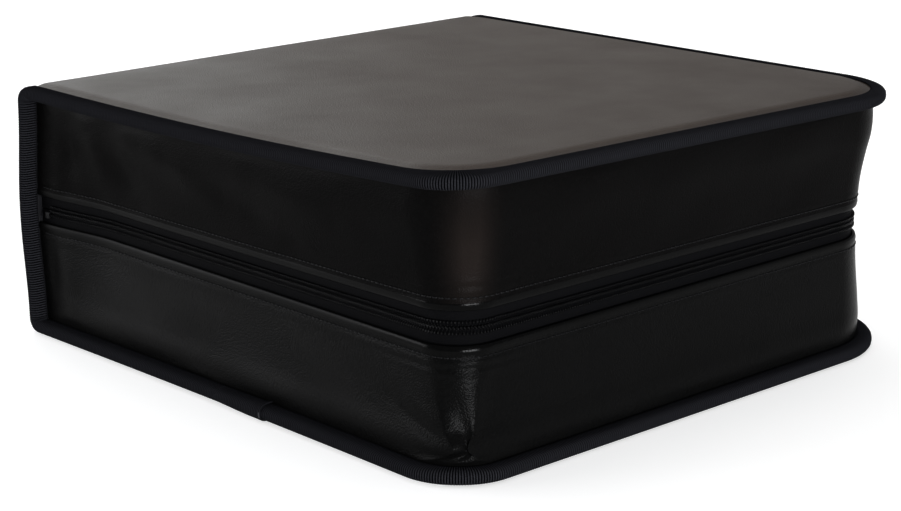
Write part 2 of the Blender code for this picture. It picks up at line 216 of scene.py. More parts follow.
def settled(points):
    """Let the top cover rise towards the fore-edge, and the near edges give way a little."""
    x, y, z = points.T
    out = np.clip((x - SPINE_X) / (FORE_X - SPINE_X), 0, 1)
    far = np.clip((y + SIDE_Y) / (2 * SIDE_Y), 0, 1)
    rise = out * (TOP_RISE[0] + (TOP_RISE[1] - TOP_RISE[0]) * far)
    middle = np.sin(np.pi * out) * smooth(0.04, -SIDE_Y, y)
    moved = points.copy()
    moved[:, 2] += (rise - TOP_SAG * middle) * np.clip((z - RISE_FROM_Z) / (RISE_TO_Z - RISE_FROM_Z), 0, 1)
    moved[:, 2] += BOTTOM_LIFT * middle * smooth(0.030, 0.006, z)
    return moved


# %% [markdown]
# ## The line round three sides
# Walls, tapes, teeth and stitches all follow the same line: the near side, a corner, the
# fore-edge, a corner and the far side. A station counts those five stretches from 0 to 5.

# %% The line and the distance along it
def track(station, inset, radii, start_x):
    """Points x and y of the line at stations 0 to 5; the radii are those of its two corners."""
    station, inset, near, far, start_x = np.broadcast_arrays(station, inset, *radii, start_x)
    stretch = np.clip(np.floor(station), 0, 4)
    share = station - stretch
    radius = np.where(stretch > 2, far, near)
    turn = np.select(
        [stretch == 0, stretch == 1, stretch == 2, stretch == 3],
        [-90 + 0 * share, -90 + 90 * share, 0 * share, 90 * share], 90.0,
    )
    turn = np.radians(turn)
    centre_x = FORE_X - radius
    run = centre_x - start_x
    base_x = np.select(
        [stretch == 0, stretch == 4], [start_x + run * share, centre_x - run * share], centre_x,
    )
    near_y, far_y = near - SIDE_Y, SIDE_Y - far
    base_y = np.select([stretch < 2, stretch == 2], [near_y, near_y + (far_y - near_y) * share], far_y)
    x = base_x + (radius - inset) * np.cos(turn)
    y = base_y + (radius - inset) * np.sin(turn)
    return x, y


def stretches(inset, radii, start_x):
    """Distances along the line at the ends of its five stretches."""
    near, far = radii
    arcs = [(radius - inset) * math.pi / 2 for radius in radii]
    front = 2 * SIDE_Y - near - far
    return np.cumsum([0, FORE_X - near - start_x, arcs[0], front, arcs[1], FORE_X - far - start_x])


def stations(distance, inset, radii, start_x):
    """Stations of points at given distances along the line."""
    return np.interp(distance, stretches(inset, radii, start_x), range(6))


# %% [markdown]
# ## Materials
# Everything here is black, so the finish does all the work: grain, ribs, weave and gloss. Bump
# patterns read Object coordinates on leather and plastic, and the UV map on ribbon and tape.

# %% Material helpers
def new_material(name, colour, roughness, specular=0.5, metallic=0.0):
    """A Principled material, with its nodes at hand."""
    made = bpy.data.materials.new(name)
    made.use_nodes = True
    shader = made.node_tree.nodes["Principled BSDF"]
    shader.inputs["Base Color"].default_value = (*colour, 1)
    shader.inputs["Roughness"].default_value = roughness
    shader.inputs["Specular IOR Level"].default_value = specular
    shader.inputs["Metallic"].default_value = metallic
    made.diffuse_color = (*colour, 1)
    return made


def node(material, kind, links=(), **settings):
    """Add a node, set its inputs by name and link sockets into it."""
    made = material.node_tree.nodes.new(kind)
    for name, value in settings.items():
        if name in made.bl_rna.properties:
            setattr(made, name, value)
        else:
            made.inputs[name.replace("_", " ")].default_value = value
    for socket, name in links:
        material.node_tree.links.new(socket, made.inputs[name])
    return made


def shaped(material, value, low, high, to_low, to_high):
    """Map a value from one range to another."""
    made = node(material, "ShaderNodeMapRange", [(value, "Value")])
    for name, number in (("From Min", low), ("From Max", high), ("To Min", to_low), ("To Max", to_high)):
        made.inputs[name].default_value = number
    return made.outputs["Result"]


def reckoned(material, operation, first, second):
    """Join a value to another value, or to a plain number, by an operation."""
    if isinstance(second, (int, float)):
        made = node(material, "ShaderNodeMath", [(first, 0)], operation=operation)
        made.inputs[1].default_value = second
    else:
        made = node(material, "ShaderNodeMath", [(first, 0), (second, 1)], operation=operation)
    return made.outputs[0]


def summed(material, *terms):
    """Add values together, each multiplied by its weight."""
    total = None
    for value, weight in terms:
        scaled = reckoned(material, "MULTIPLY", value, weight)
        total = scaled if total is None else reckoned(material, "ADD", total, scaled)
    return total


def mixed_colour(material, share, first, second, third=None, third_share=None):
    """Drive the base colour between two colours, and on to a third if there is one."""
    mix = node(material, "ShaderNodeMix", [(share, "Factor")], data_type="RGBA")
    mix.inputs["A"].default_value = (*first, 1)
    mix.inputs["B"].default_value = (*second, 1)
    if third:
        links = [(third_share, "Factor"), (mix.outputs["Result"], "A")]
        mix = node(material, "ShaderNodeMix", links, data_type="RGBA")
        mix.inputs["B"].default_value = (*third, 1)
    shader = material.node_tree.nodes["Principled BSDF"]
    material.node_tree.links.new(mix.outputs["Result"], shader.inputs["Base Color"])


def finish_surface(material, height, depth, roughness=None):
    """Link a height, in pattern units of the given depth, to the bump, and a roughness."""
    shader = material.node_tree.nodes["Principled BSDF"]
    bump = node(material, "ShaderNodeBump", [(height, "Height")], Distance=depth, Strength=1.0)
    material.node_tree.links.new(bump.outputs["Normal"], shader.inputs["Normal"])
    if roughness:
        material.node_tree.links.new(roughness, shader.inputs["Roughness"])


def place_on(material, source="Object"):
    """The coordinates that a pattern reads."""
    return node(material, "ShaderNodeTexCoord").outputs[source]


# %% [markdown]
# ### Leatherette
# Pebble grain is a cell pattern about 0.7 mm across with creases between the cells. A slow noise
# shifts the gloss a little from place to place, as on coated cloth that has been handled.

# %% Leatherette
# A warm painted highlight: the upper wall's base colour is lightened round the near corner, most half way
# up, where a soft highlight falls.
CORNER_AXIS = (0.1550, -0.1400)
PAINTED_HIGHLIGHT_REACH = 0.0195
PAINTED_HIGHLIGHT_FULL = 0.004
DULL_FROM, DULL_TO = 0.034, 0.080
PAINTED_HIGHLIGHT = (0.0100, 0.0078, 0.0070)


def from_corner(material, at, zero_at, one_at):
    """0 at one distance from the near corner's axis and 1 at another, seen from above."""
    flat = node(material, "ShaderNodeVectorMath", [(at, 0)], operation="MULTIPLY")
    flat.inputs[1].default_value = (1, 1, 0)
    away = node(material, "ShaderNodeVectorMath", [(flat.outputs["Vector"], 0)], operation="DISTANCE")
    away.inputs[1].default_value = (*CORNER_AXIS, 0)
    return shaped(material, away.outputs["Value"], zero_at, one_at, 0, 1)


def painted_highlight_share(material, at):
    """Share of the painted highlight: most half way up the upper wall, on the near corner."""
    apart = node(material, "ShaderNodeSeparateXYZ", [(at, "Vector")])
    near = from_corner(material, at, PAINTED_HIGHLIGHT_REACH, PAINTED_HIGHLIGHT_FULL)
    rising = shaped(material, apart.outputs["Z"], 0.070, 0.094, 0, 1)
    falling = shaped(material, apart.outputs["Z"], 0.134, 0.104, 0.25, 1)
    share = reckoned(material, "MULTIPLY", near, rising)
    share = reckoned(material, "MULTIPLY", share, falling)
    return reckoned(material, "MULTIPLY", share, near)


def leatherette(name, colour, roughness, specular, depth, painted_highlight=None, dulls=0.0):
    """Black coated cloth with a fine pebble grain."""
    made = new_material(name, colour, roughness, specular)
    at = place_on(made)
    pebbles = node(
        made, "ShaderNodeTexVoronoi", [(at, "Vector")], feature="SMOOTH_F1", Scale=1350, Smoothness=0.6,
    )
    creases = node(made, "ShaderNodeTexNoise", [(at, "Vector")], Scale=620, Detail=3, Roughness=0.6)
    pores = node(made, "ShaderNodeTexNoise", [(at, "Vector")], Scale=3200, Detail=1)
    hand = node(made, "ShaderNodeTexNoise", [(at, "Vector")], Scale=22, Detail=3)
    height = summed(
        made, (pebbles.outputs["Distance"], -1.3), (creases.outputs["Fac"], 0.55),
        (pores.outputs["Fac"], 0.25),
    )
    gloss = shaped(made, hand.outputs["Fac"], 0.3, 0.7, roughness - 0.035, roughness + 0.045)
    if dulls:
        gloss = summed(made, (gloss, 1.0), (from_corner(made, at, DULL_FROM, DULL_TO), dulls))
    finish_surface(made, height, depth, gloss)
    worn = tuple(value * 1.5 for value in colour)
    share = shaped(made, creases.outputs["Fac"], 0.35, 0.75, 0, 1)
    # Where it is given, a painted highlight lightens the base colour on the near corner.
    mixed_colour(made, share, colour, worn, painted_highlight, painted_highlight_share(made, at) if painted_highlight else None)
    return made


# The cover's base colour is a warm dark brown, well above the walls' black: partly the leatherette's own
# tone and partly a painted warm reflection on the top.
COVER_TONE_AND_PAINTED_REFLECTION = (0.0225, 0.0132, 0.0083)
WALL_BLACK = (0.0018, 0.0018, 0.0018)
UPPER_WALL_BLACK = (0.0018, 0.0017, 0.0017)
LIP_BLACK = (0.0012, 0.0012, 0.0012)
cover_leather = leatherette("cover_leatherette", COVER_TONE_AND_PAINTED_REFLECTION, 0.43, 0.20, 0.00010)
# The upper wall carries the painted highlight on its near corner.
upper_leather = leatherette("upper_wall_leatherette", UPPER_WALL_BLACK, 0.30, 0.009, 0.00010, PAINTED_HIGHLIGHT)
lower_leather = leatherette("lower_wall_leatherette", WALL_BLACK, 0.26, 0.022, 0.00010)
lip_leather = leatherette("lip_leatherette", LIP_BLACK, 0.15, 0.034, 0.00003, dulls=0.22)


# %% [markdown]
# ### Ribbon, tape, cloth and thread
# The ribbon's ribs are modelled; its material adds the fine threads that run along it, and painted shade in
# the grooves between the ribs.
# The zipper's tape has a twill, and the lining a plain weave.

# %% Woven finishes
def woven(name, colour, light, roughness, along, across, depth, source="UV", specular=0.2, rib=None):
    """Cloth whose threads cross at the given counts a metre, with optional painted shade in the grooves of
    a rib.
    """
    made = new_material(name, colour, roughness, specular)
    at = place_on(made, source)
    apart = node(made, "ShaderNodeSeparateXYZ", [(at, "Vector")])
    waves = []
    for socket, count in ((apart.outputs["X"], along), (apart.outputs["Y"], across)):
        angle = reckoned(made, "MULTIPLY", socket, count * 2 * math.pi)
        waves.append(node(made, "ShaderNodeMath", [(angle, 0)], operation="SINE").outputs[0])
    fuzz = node(made, "ShaderNodeTexNoise", [(at, "Vector")], Scale=2400, Detail=2)
    crossed = reckoned(made, "MULTIPLY", *waves)
    height = summed(made, (crossed, 0.35), (waves[0], 0.12), (waves[1], 0.2), (fuzz.outputs["Fac"], 0.6))
    finish_surface(made, height, depth)
    share = shaped(made, height, -0.3, 0.9, 0, 1)
    # A rib paints shade into the colour: darker in each groove between ribs, lighter on the crests.
    if rib:
        turn = reckoned(made, "MULTIPLY", apart.outputs["X"], 2 * math.pi / rib)
        wave = node(made, "ShaderNodeMath", [(turn, 0)], operation="COSINE")
        painted_groove_shade = shaped(made, wave.outputs[0], 0.6, -0.7, 0, 1)
        share = reckoned(made, "MULTIPLY", share, painted_groove_shade)
    mixed_colour(made, share, colour, light)
    return made


RIB_PITCH = 0.0013
ribbon_cloth = woven(
    "ribbed_ribbon", (0.0006, 0.0006, 0.0008), (0.0345, 0.0350, 0.0408), 0.8, 2600, 2300, 0.00006,
    specular=0.0, rib=RIB_PITCH,
)
tape_cloth = woven(
    "zipper_tape_twill", (0.0008, 0.0008, 0.0010), (0.0036, 0.0036, 0.0041), 0.7, 900, 1500, 0.00008,
    specular=0.02,
)
lining_cloth = woven(
    "nylon_lining", (0.0035, 0.0035, 0.0042), (0.0095, 0.0095, 0.0110), 0.62, 1100, 1100, 0.00008,
    source="Object", specular=0.06,
)


def thread(name, colour):
    """Twisted black sewing thread."""
    made = new_material(name, colour, 0.5, 0.08)
    at = place_on(made)
    twist = node(made, "ShaderNodeTexNoise", [(at, "Vector")], Scale=5200, Detail=2)
    finish_surface(made, twist.outputs["Fac"], 0.00006)
    mixed_colour(made, twist.outputs["Fac"], colour, tuple(value * 1.8 for value in colour))
    return made


sewing_thread = thread("sewing_thread", (0.0018, 0.0018, 0.0021))
cut_threads = thread("cut_ribbon_threads", (0.026, 0.026, 0.029))


def plastic(name, colour, roughness, specular, grain, depth, metallic=0.0):
    """Moulded or enamelled black parts with a faint orange peel."""
    made = new_material(name, colour, roughness, specular, metallic=metallic)
    at = place_on(made)
    peel = node(made, "ShaderNodeTexNoise", [(at, "Vector")], Scale=grain, Detail=3)
    slow = node(made, "ShaderNodeTexNoise", [(at, "Vector")], Scale=60, Detail=2)
    gloss = shaped(made, slow.outputs["Fac"], 0.3, 0.7, roughness - 0.05, roughness + 0.07)
    finish_surface(made, peel.outputs["Fac"], depth, gloss)
    mixed_colour(made, slow.outputs["Fac"], colour, tuple(value * 1.35 for value in colour))
    return made


coil_nylon = plastic("coil_nylon", (0.0012, 0.0012, 0.0014), 0.13, 0.06, 2600, 0.00001)
black_metal = plastic("blackened_metal", (0.0040, 0.0040, 0.0042), 0.50, 0.10, 900, 0.00002)
enamel = plastic("black_enamel", (0.012, 0.012, 0.013), 0.25, 0.5, 900, 0.00002)
binder_plastic = plastic("binder_plastic", (0.018, 0.018, 0.019), 0.45, 0.4, 2200, 0.00004)


# %% [markdown]
# ### Hidden stuff
# The boards are grey card, and the sleeves are clear film on dark felted leaves.

# %% Card and film
def card(name):
    """Uncoated grey board with loose fibres."""
    made = new_material(name, (0.26, 0.235, 0.195), 0.9, 0.2)
    at = place_on(made)
    fibres = node(made, "ShaderNodeTexNoise", [(at, "Vector")], Scale=700, Detail=5, Roughness=0.7)
    finish_surface(made, fibres.outputs["Fac"], 0.0001)
    mixed_colour(made, fibres.outputs["Fac"], (0.20, 0.18, 0.15), (0.34, 0.31, 0.26))
    return made


def film(name):
    """Clear film over dark felt: glossy, with a faint ripple."""
    made = new_material(name, (0.06, 0.06, 0.064), 0.18, 0.5)
    at = place_on(made)
    ripple = node(made, "ShaderNodeTexNoise", [(at, "Vector")], Scale=28, Detail=3)
    felt = node(made, "ShaderNodeTexNoise", [(at, "Vector")], Scale=900, Detail=4)
    height = summed(made, (ripple.outputs["Fac"], 12.0), (felt.outputs["Fac"], 0.3))
    finish_surface(made, height, 0.0001, shaped(made, ripple.outputs["Fac"], 0.3, 0.7, 0.14, 0.26))
    mixed_colour(made, felt.outputs["Fac"], (0.045, 0.045, 0.048), (0.09, 0.09, 0.096))
    return made


grey_board = card("grey_board")
sleeve_film = film("sleeve_film")
print(len(bpy.data.materials), "materials")

# %% [markdown]
# ## The bound edge
# One ribbon is folded over the edge of each cover and goes on up the spine's two ends. It is cut
# here in a lower and an upper half that meet at the middle of the spine, because the cover and
# the spine move apart there. Its ribs run across it, 1.3 mm apart, and are modelled.

# %% Bow of the spine and the round folds
def bow(z):
    """How far the spine stands out past the folds at this height."""
    share = (z - FOLD["back"]) / (HEIGHT - FOLD["front"] - FOLD["back"])
    return SPINE_BOW * np.sin(np.pi * np.clip(share, 0, 1)) ** 2


def over_fold(distance, level, cover):
    """x and z of a sheet that runs from the spine's middle down round a fold and along a cover.

    The distance is measured along the outer face from the spine's middle height.
    """
    radius = FOLD[cover]
    rise = MID_Z - radius
    turn = np.clip((distance - rise) / radius, 0, math.pi / 2)
    flat = np.maximum(distance - rise - radius * math.pi / 2, 0)
    up = np.maximum(rise - distance, 0)
    inner = radius - level
    x = SPINE_X + radius - inner * np.cos(turn) + flat
    z = radius - inner * np.sin(turn) + up
    height = z if cover == "back" else HEIGHT - z
    x = x - bow(height) * (distance < rise)
    return x, height


def fold_run(cover):
    """Length of an outer face from the spine's middle to where the fold ends on the cover."""
    return MID_Z - FOLD[cover] + FOLD[cover] * math.pi / 2


def ribbon_length(cover):
    """Length of one half of the binding, with its runs up the spine."""
    return stretches(0, CORNERS[cover], SPINE_X + FOLD[cover])[-1] + 2 * fold_run(cover)


# %% The ribbon's section and the ribs
RIB_DEPTH = 0.00024
STATIONS_A_RIB = 4
RIBBON_SECTION = np.array([
    (8.20, 0.42), (8.00, 0.06), (6.60, 0.00), (4.60, 0.00), (2.70, 0.14), (1.15, 0.75), (0.25, 1.90),
    (0.00, 3.50), (0.25, 5.10), (1.15, 6.25), (2.70, 6.86), (4.60, 7.00), (6.60, 7.00), (8.00, 6.94),
    (8.20, 6.58), (7.70, 6.22), (1.20, 6.05), (0.90, 3.50), (1.20, 0.95), (7.70, 0.78), (8.20, 0.42),
]) / 1000
OUTER_ROWS = 14
RIBBON_GIRTH = 0.037


def widened_lap(x, y, inset, cover):
    """Carry the lap's inner edge further in at the near corner, where the ribbon is gathered."""
    radius = LAP_CORNERS[cover][0]
    dx, dy = x - (FORE_X - radius), y + (SIDE_Y - radius)
    reach = np.hypot(dx, dy)
    over = np.where((dx > 0) & (dy < 0), np.maximum(reach - (radius - inset), 0), 0)
    share = over * smooth(0.0012, 0.0078, inset) / np.maximum(reach, 1e-6)
    return x - dx * share, y - dy * share


def ribbon_place(along, across, cover, outward=0.0):
    """Places of the ribbon's vertices: down one spine end, round the cover and up the other."""
    radii = CORNERS[cover]
    start_x = SPINE_X + FOLD[cover]
    drop, length = fold_run(cover), ribbon_length(cover)
    distance = along * length
    row = across * (len(RIBBON_SECTION) - 1)
    inset = np.interp(row, range(len(RIBBON_SECTION)), RIBBON_SECTION[:, 0])
    level = np.interp(row, range(len(RIBBON_SECTION)), RIBBON_SECTION[:, 1])
    is_outer = smooth(0.2, 1.0, row) * smooth(OUTER_ROWS - 0.2, OUTER_ROWS - 1.0, row)
    selvedge = smooth(0.5, 2.2, row) * smooth(OUTER_ROWS - 0.5, OUTER_ROWS - 2.2, row)
    rib = 0.5 - 0.5 * np.cos(2 * np.pi * distance / RIB_PITCH)
    depth = RIB_DEPTH * is_outer * (0.35 + 0.65 * selvedge) * (1 - rib)
    middle = FLANGE / 2
    out_inset = np.clip((2.7e-3 - inset) / 2.7e-3, 0, 1)
    out_level = np.clip((level - middle) / middle, -1, 1)
    size = np.sqrt(out_inset**2 + out_level**2) + 1e-9
    inset = inset + (depth - outward) * out_inset / size
    level = level - (depth - outward) * out_level / size
    from_end = np.minimum(distance, length - distance)
    folded_x, folded_z = over_fold(from_end, level, cover)
    end_side = np.where(distance < length / 2, -1.0, 1.0)
    station = stations(distance - drop, 0, radii, start_x)
    x, y = widened_lap(*track(station, inset, radii, start_x), inset, cover)
    on_spine = from_end < drop
    z = level if cover == "back" else HEIGHT - level
    points = np.stack([
        np.where(on_spine, folded_x, x),
        np.where(on_spine, end_side * (SIDE_Y - inset), y),
        np.where(on_spine, folded_z, z),
    ], axis=1)
    return settled(points)


def ribbon(name, cover):
    """One half of the binding, ribs and all."""
    length = ribbon_length(cover)
    columns = round(length / RIB_PITCH) * STATIONS_A_RIB
    return wrapped_sheet(
        name, columns, len(RIBBON_SECTION) - 1, (length, RIBBON_GIRTH),
        lambda along, across: ribbon_place(along, across, cover),
    )


# %% [markdown]
# The lower half follows the back cover below its fold and the spine above it, and the upper half
# follows the spine and the front cover.


def bend_at_fold(piece, cover):
    """Bake the transform of a sheet that lies on a cover and on the spine into its mesh."""
    if cover == "back":
        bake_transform(piece)
    else:
        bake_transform(piece)


lower_ribbon = finished(
    ribbon("lower_binding", "back"), None, [ribbon_cloth],
    ["back_cover_binding", "spine_binding_near", "spine_binding_far"], angle=75,
)
upper_ribbon = finished(
    ribbon("upper_binding", "front"), None, [ribbon_cloth],
    ["front_cover_binding", "spine_binding_near", "spine_binding_far"], angle=75,
)
bend_at_fold(lower_ribbon, "back")
bend_at_fold(upper_ribbon, "front")

# %% [markdown]
# ## The padded covers
# Leatherette is drawn over thin foam and tucked under the ribbon, so the face stands a little
# proud in the middle and rolls down at the edge. The same sheet goes on round the fold and up
# half of the spine.

# %% Distance in from the outline
def inset_at(x, y, radii):
    """How far in from the cover's outline a point lies."""
    radius = np.where(y < 0, *radii)
    dx = x - (FORE_X - radius)
    dy = np.abs(y) - (SIDE_Y - radius)
    outside = np.hypot(np.maximum(dx, 0), np.maximum(dy, 0))
    return radius - outside - np.minimum(np.maximum(dx, dy), 0)


# %% Covers
SKIN = 0.0013
SKIN_CUT = (0.4, 0.32)
TUCK = 0.0045
TUCK_LEVEL = 0.0009
CROWN = 0.0010
SHOULDER = (0.0076, 0.0150)


def dents(x, y):
    """Slow unevenness of foam under leatherette, about a tenth of a millimetre."""
    waves = (
        (31, 12, 0.4), (-14, 27, 2.1), (47, -33, 4.0), (22, 61, 1.2), (-71, 18, 5.2), (58, 74, 3.3),
        (95, -40, 0.9),
    )
    return sum(np.sin(a * x + b * y + c) / (1 + math.hypot(a, b) / 40) for a, b, c in waves) / len(waves)


def skin_place(along, across, cover):
    """Places of a cover's sheet: from the spine's middle, round the fold, to the fore-edge."""
    radii = LAP_CORNERS[cover]
    spread = across - 0.028 * np.sin(2 * np.pi * across) * 2
    y = (2 * spread - 1) * (SIDE_Y - TUCK)
    radius = np.where(y < 0, *radii)
    beyond = np.maximum(np.abs(y) - (SIDE_Y - radius), 0)
    reach = FORE_X - radius + np.sqrt(np.maximum((radius - TUCK) ** 2 - beyond**2, 0))
    drop = fold_run(cover)
    full = drop + reach - SPINE_X - FOLD[cover]
    spaced = along - 0.05 * np.sin(np.pi * along) ** 2 * along
    spaced = spaced + 0.03 * np.sin(np.pi * along)
    distance = np.clip(spaced, 0, 1) * full
    x, _ = over_fold(distance, 0, cover)
    inset = np.where(distance > drop, inset_at(x, y, radii), SIDE_Y - np.abs(y))
    raised = smooth(*SHOULDER, inset)
    on_fold = np.exp(-(((distance - drop + 0.006) / 0.011) ** 2))
    puff = CROWN * (1 - 0.75 * on_fold) + 0.00016 * dents(distance, y)
    if cover == "back":
        puff = puff * smooth(drop, drop - 0.030, distance)
    level = TUCK_LEVEL - (TUCK_LEVEL + puff) * raised
    x, z = over_fold(distance, level, cover)
    return settled(np.stack([x, y, z], axis=1))


def skin(name, cover, columns, rows):
    """A cover's leatherette, thickened towards the inside."""
    piece = wrapped_sheet(
        name, columns, rows, SKIN_CUT, lambda along, across: skin_place(along, across, cover), closed=False,
    )
    middle = points_of(piece)[len(piece.data.vertices) // 2]
    facing = piece.data.polygons[len(piece.data.polygons) // 2].normal.z
    is_outward = facing < 0 if middle[2] < MID_Z else facing > 0
    if not is_outward:
        in_edit_mode(piece, bpy.ops.mesh.flip_normals)
    return applied(piece, "thickness", "SOLIDIFY", thickness=SKIN, offset=-1)


lower_skin = finished(
    skin("back_cover_leather", "back", 150, 120), None, [cover_leather],
    ["back_cover_skin", "spine_skin"],
)
upper_skin = finished(
    skin("front_cover_leather", "front", 190, 150), None, [cover_leather],
    ["front_cover_skin", "spine_skin"],
)
bend_at_fold(lower_skin, "back")
bend_at_fold(upper_skin, "front")

# %% [markdown]
# ## The soft walls
# Each wall is one strip of leatherette with a cloth backing. It starts inside the bound edge,
# swells a little under the ribbon, draws in to the zipper, and is turned over at the lip. Its
# folds are placed from what the case shows: each is a soft ridge or valley along a line.

# %% Wall measures
WALL = 0.0018
LIP_LEVEL = MID_Z - 0.0080
WALL_LOW = 0.0045
WALL_X = SPINE_X + 0.0068
LIP_NOSE = 0.0009
WALL_FACE = {
    "back": np.array([(0.0, 9.0), (0.14, 9.3), (0.33, 11.0), (0.63, 12.9), (0.88, 14.2), (1.0, 14.6)]),
    "front": np.array([
        (0.0, 8.8), (0.10, 8.5), (0.28, 9.2), (0.48, 11.6), (0.68, 13.4), (0.88, 14.4), (1.0, 14.7),
    ]),
}
WALL_RADIUS = {
    "back": np.array([
        (0.0, 33.0), (0.05, 22.0), (0.11, 15.6), (0.3, 19.5), (0.6, 28.0), (0.85, 34.8), (1.0, 37.5),
    ]),
    "front": np.array([(0.0, 41.0), (0.3, 41.0), (0.7, 39.5), (1.0, 38.0)]),
}
FAR_WALL_RADIUS = {
    "back": np.array([(0.0, 53.0), (0.3, 48.5), (0.7, 46.5), (1.0, 45.5)]),
    "front": np.array([(0.0, 45.0), (0.5, 44.0), (1.0, 45.0)]),
}
PINCH = 0.0025
DRAWN_IN = 0.0070
PINCH_REACH = (0.019, 0.030)
WALL_LINE_INSET = 0.012
WALL_LINE = stretches(WALL_LINE_INSET, CORNERS_AT_ZIPPER, WALL_X)
CORNER_DISTANCE = WALL_LINE[1:3].mean()
LIP_SHAPE = (
    (0.0013, 0.0011, 0.0006, 0.5), (0.0045, 0.0011, -0.0004, 0.4), (0.0068, 0.0016, 0.0002, 0.3),
    (0.0094, 0.0008, -0.0005, 0.0), (0.0112, 0.0010, 0.0004, 0.0),
)
LIP_CORNER = 0.032
FLARE_INSET = 0.0086
FLARE_RUN = 0.058


def curve_at(table, share):
    """A smooth curve through listed points, the second column in millimetres."""
    slopes = np.gradient(table[:, 1], table[:, 0])
    i = np.clip(np.searchsorted(table[:, 0], share, side="right") - 1, 0, len(table) - 2)
    span = table[i + 1, 0] - table[i, 0]
    t = (share - table[i, 0]) / span
    low, high = table[i, 1], table[i + 1, 1]
    eased = low * (1 + 2 * t) * (1 - t) ** 2 + high * t * t * (3 - 2 * t)
    return (eased + span * t * (1 - t) * (slopes[i] * (1 - t) - slopes[i + 1] * t)) / 1000


# %% Folds in the walls
FOLDS = {
    "front": (
        (0.012, 0.030, 0.016, 0.092, 0.0070, 0.0013),
        (0.028, 0.118, 0.026, 0.082, 0.0075, -0.0016),
        (0.044, 0.120, 0.058, 0.082, 0.0090, 0.0016),
        (0.064, 0.116, 0.084, 0.084, 0.0095, -0.0014),
        (0.082, 0.118, 0.165, 0.098, 0.0090, 0.0016),
        (0.115, 0.112, 0.205, 0.088, 0.0085, -0.0013),
        (0.175, 0.113, 0.250, 0.102, 0.0100, 0.0011),
        (0.350, 0.118, 0.430, 0.100, 0.0140, 0.0006),
        (0.470, 0.108, 0.530, 0.090, 0.0130, -0.0006),
        (0.640, 0.116, 0.760, 0.095, 0.0150, 0.0009),
        (0.790, 0.110, 0.840, 0.088, 0.0120, -0.0008),
    ),
    "back": (
        (0.006, 0.016, 0.008, 0.054, 0.0045, -0.0012),
        (0.022, 0.020, 0.020, 0.052, 0.0080, 0.0008),
        (0.070, 0.020, 0.130, 0.034, 0.0140, 0.0006),
        (0.262, 0.030, 0.294, 0.0135, 0.0035, -0.0009),
        (0.276, 0.034, 0.300, 0.020, 0.0034, 0.0004),
        (0.350, 0.014, 0.330, 0.050, 0.0080, -0.0005),
        (0.420, 0.024, 0.520, 0.018, 0.0130, 0.0005),
        (0.660, 0.020, 0.760, 0.034, 0.0150, 0.0006),
    ),
}


def folds(distance, z, cover):
    """How far the folds carry the wall outwards."""
    total = np.zeros_like(distance)
    for from_s, from_z, to_s, to_z, width, height in FOLDS[cover]:
        run_s, run_z = to_s - from_s, to_z - from_z
        length = math.hypot(run_s, run_z)
        t = ((distance - from_s) * run_s + (z - from_z) * run_z) / length**2
        across = ((distance - from_s) * run_z - (z - from_z) * run_s) / length
        fade = np.exp(-(((np.clip(t, 0, 1) - t) * length / width) ** 2))
        taper = np.sin(np.pi * np.clip(t, 0.12, 0.88))
        total += height * taper * fade * np.exp(-((across / width) ** 2))
    return total


def flare(station):
    """Share of the way out to the ribbon that the walls have gone, near the spine's near end."""
    run = FORE_X - CORNERS_AT_ZIPPER[0] - WALL_X
    return 1 - smooth(0.001, FLARE_RUN, np.clip(station, 0, 1) * run)


def pinch(distance, share):
    """How much the foot of the near corner is drawn in, under its cone, from 0 to 1."""
    strength = smooth(0, 0.10, share) * smooth(0.88, 0.10, share)
    reach = np.where(distance < CORNER_DISTANCE, *PINCH_REACH)
    return strength * np.exp(-(((distance - CORNER_DISTANCE) / reach) ** 2))


def lip_relief(share, distance):
    """A rolled lip, the furrow that the stitches pull behind it, and the hem's edge at the corner."""
    back = (1 - share) * (LIP_LEVEL - FLANGE)
    corner = np.exp(-(((distance - CORNER_DISTANCE) / LIP_CORNER) ** 2))
    total = np.zeros_like(back + distance)
    for at, width, height, elsewhere in LIP_SHAPE:
        total += height * (elsewhere + (1 - elsewhere) * corner) * np.exp(-(((back - at) / width) ** 2))
    return total


def wall_inset(station, share, cover):
    """Inset of the wall's outer face at a station and a share of its height."""
    level = FLANGE + share * (LIP_LEVEL - FLANGE)
    z = level if cover == "back" else HEIGHT - level
    distance = np.interp(station, range(6), WALL_LINE)
    loose = smooth(0, 0.10, share) * smooth(1.0, 0.86, share)
    from_spine = np.minimum(station, 5 - station)
    held = smooth(0, 0.06, from_spine)
    slack = 0.00028 * np.sin(distance * 61 + 2 * share) * np.sin(distance * 23 + 5 * share + 1)
    taut = curve_at(WALL_FACE[cover], share)
    taut = taut - (taut - FLARE_INSET) * flare(station)
    taut = taut - lip_relief(share, distance)
    if cover == "back":
        taut = taut + PINCH * pinch(distance, share)
    return taut - loose * held * (folds(distance, z, cover) + slack)


def wall_start(z):
    """Where the wall's end lies, against the spine's inner face."""
    near_fold = np.where(z < MID_Z, FOLD["back"], FOLD["front"])
    level = np.minimum(z, HEIGHT - z)
    return SPINE_X + np.maximum(0.0072 - bow(z), np.where(level < near_fold, near_fold, 0))


def on_wall(station, share, outward, cover):
    """Points on the wall's outer face, or a little outside it."""
    share_on_face = np.clip(share, 0, 1)
    radii = curve_at(WALL_RADIUS[cover], share_on_face), curve_at(FAR_WALL_RADIUS[cover], share_on_face)
    level = FLANGE + share * (LIP_LEVEL - FLANGE)
    z = level if cover == "back" else HEIGHT - level
    inset = wall_inset(station, share_on_face, cover) - outward
    x, y = track(station, inset, radii, wall_start(z))
    if cover == "back":
        distance = np.interp(station, range(6), WALL_LINE)
        y = y + DRAWN_IN * pinch(distance, share_on_face)
    return settled(np.stack([x, y, z], axis=1))


# %% [markdown]
# The strip's rows go up the outer face, over the rounded lip and down the back. A row is given by
# its share of the height and how far it lies outside the face.

# %% Wall strips
FACE_ROWS = 46
BACK_ROWS = 12
WALL_GIRTH = 0.11
WALL_LENGTH = 0.93


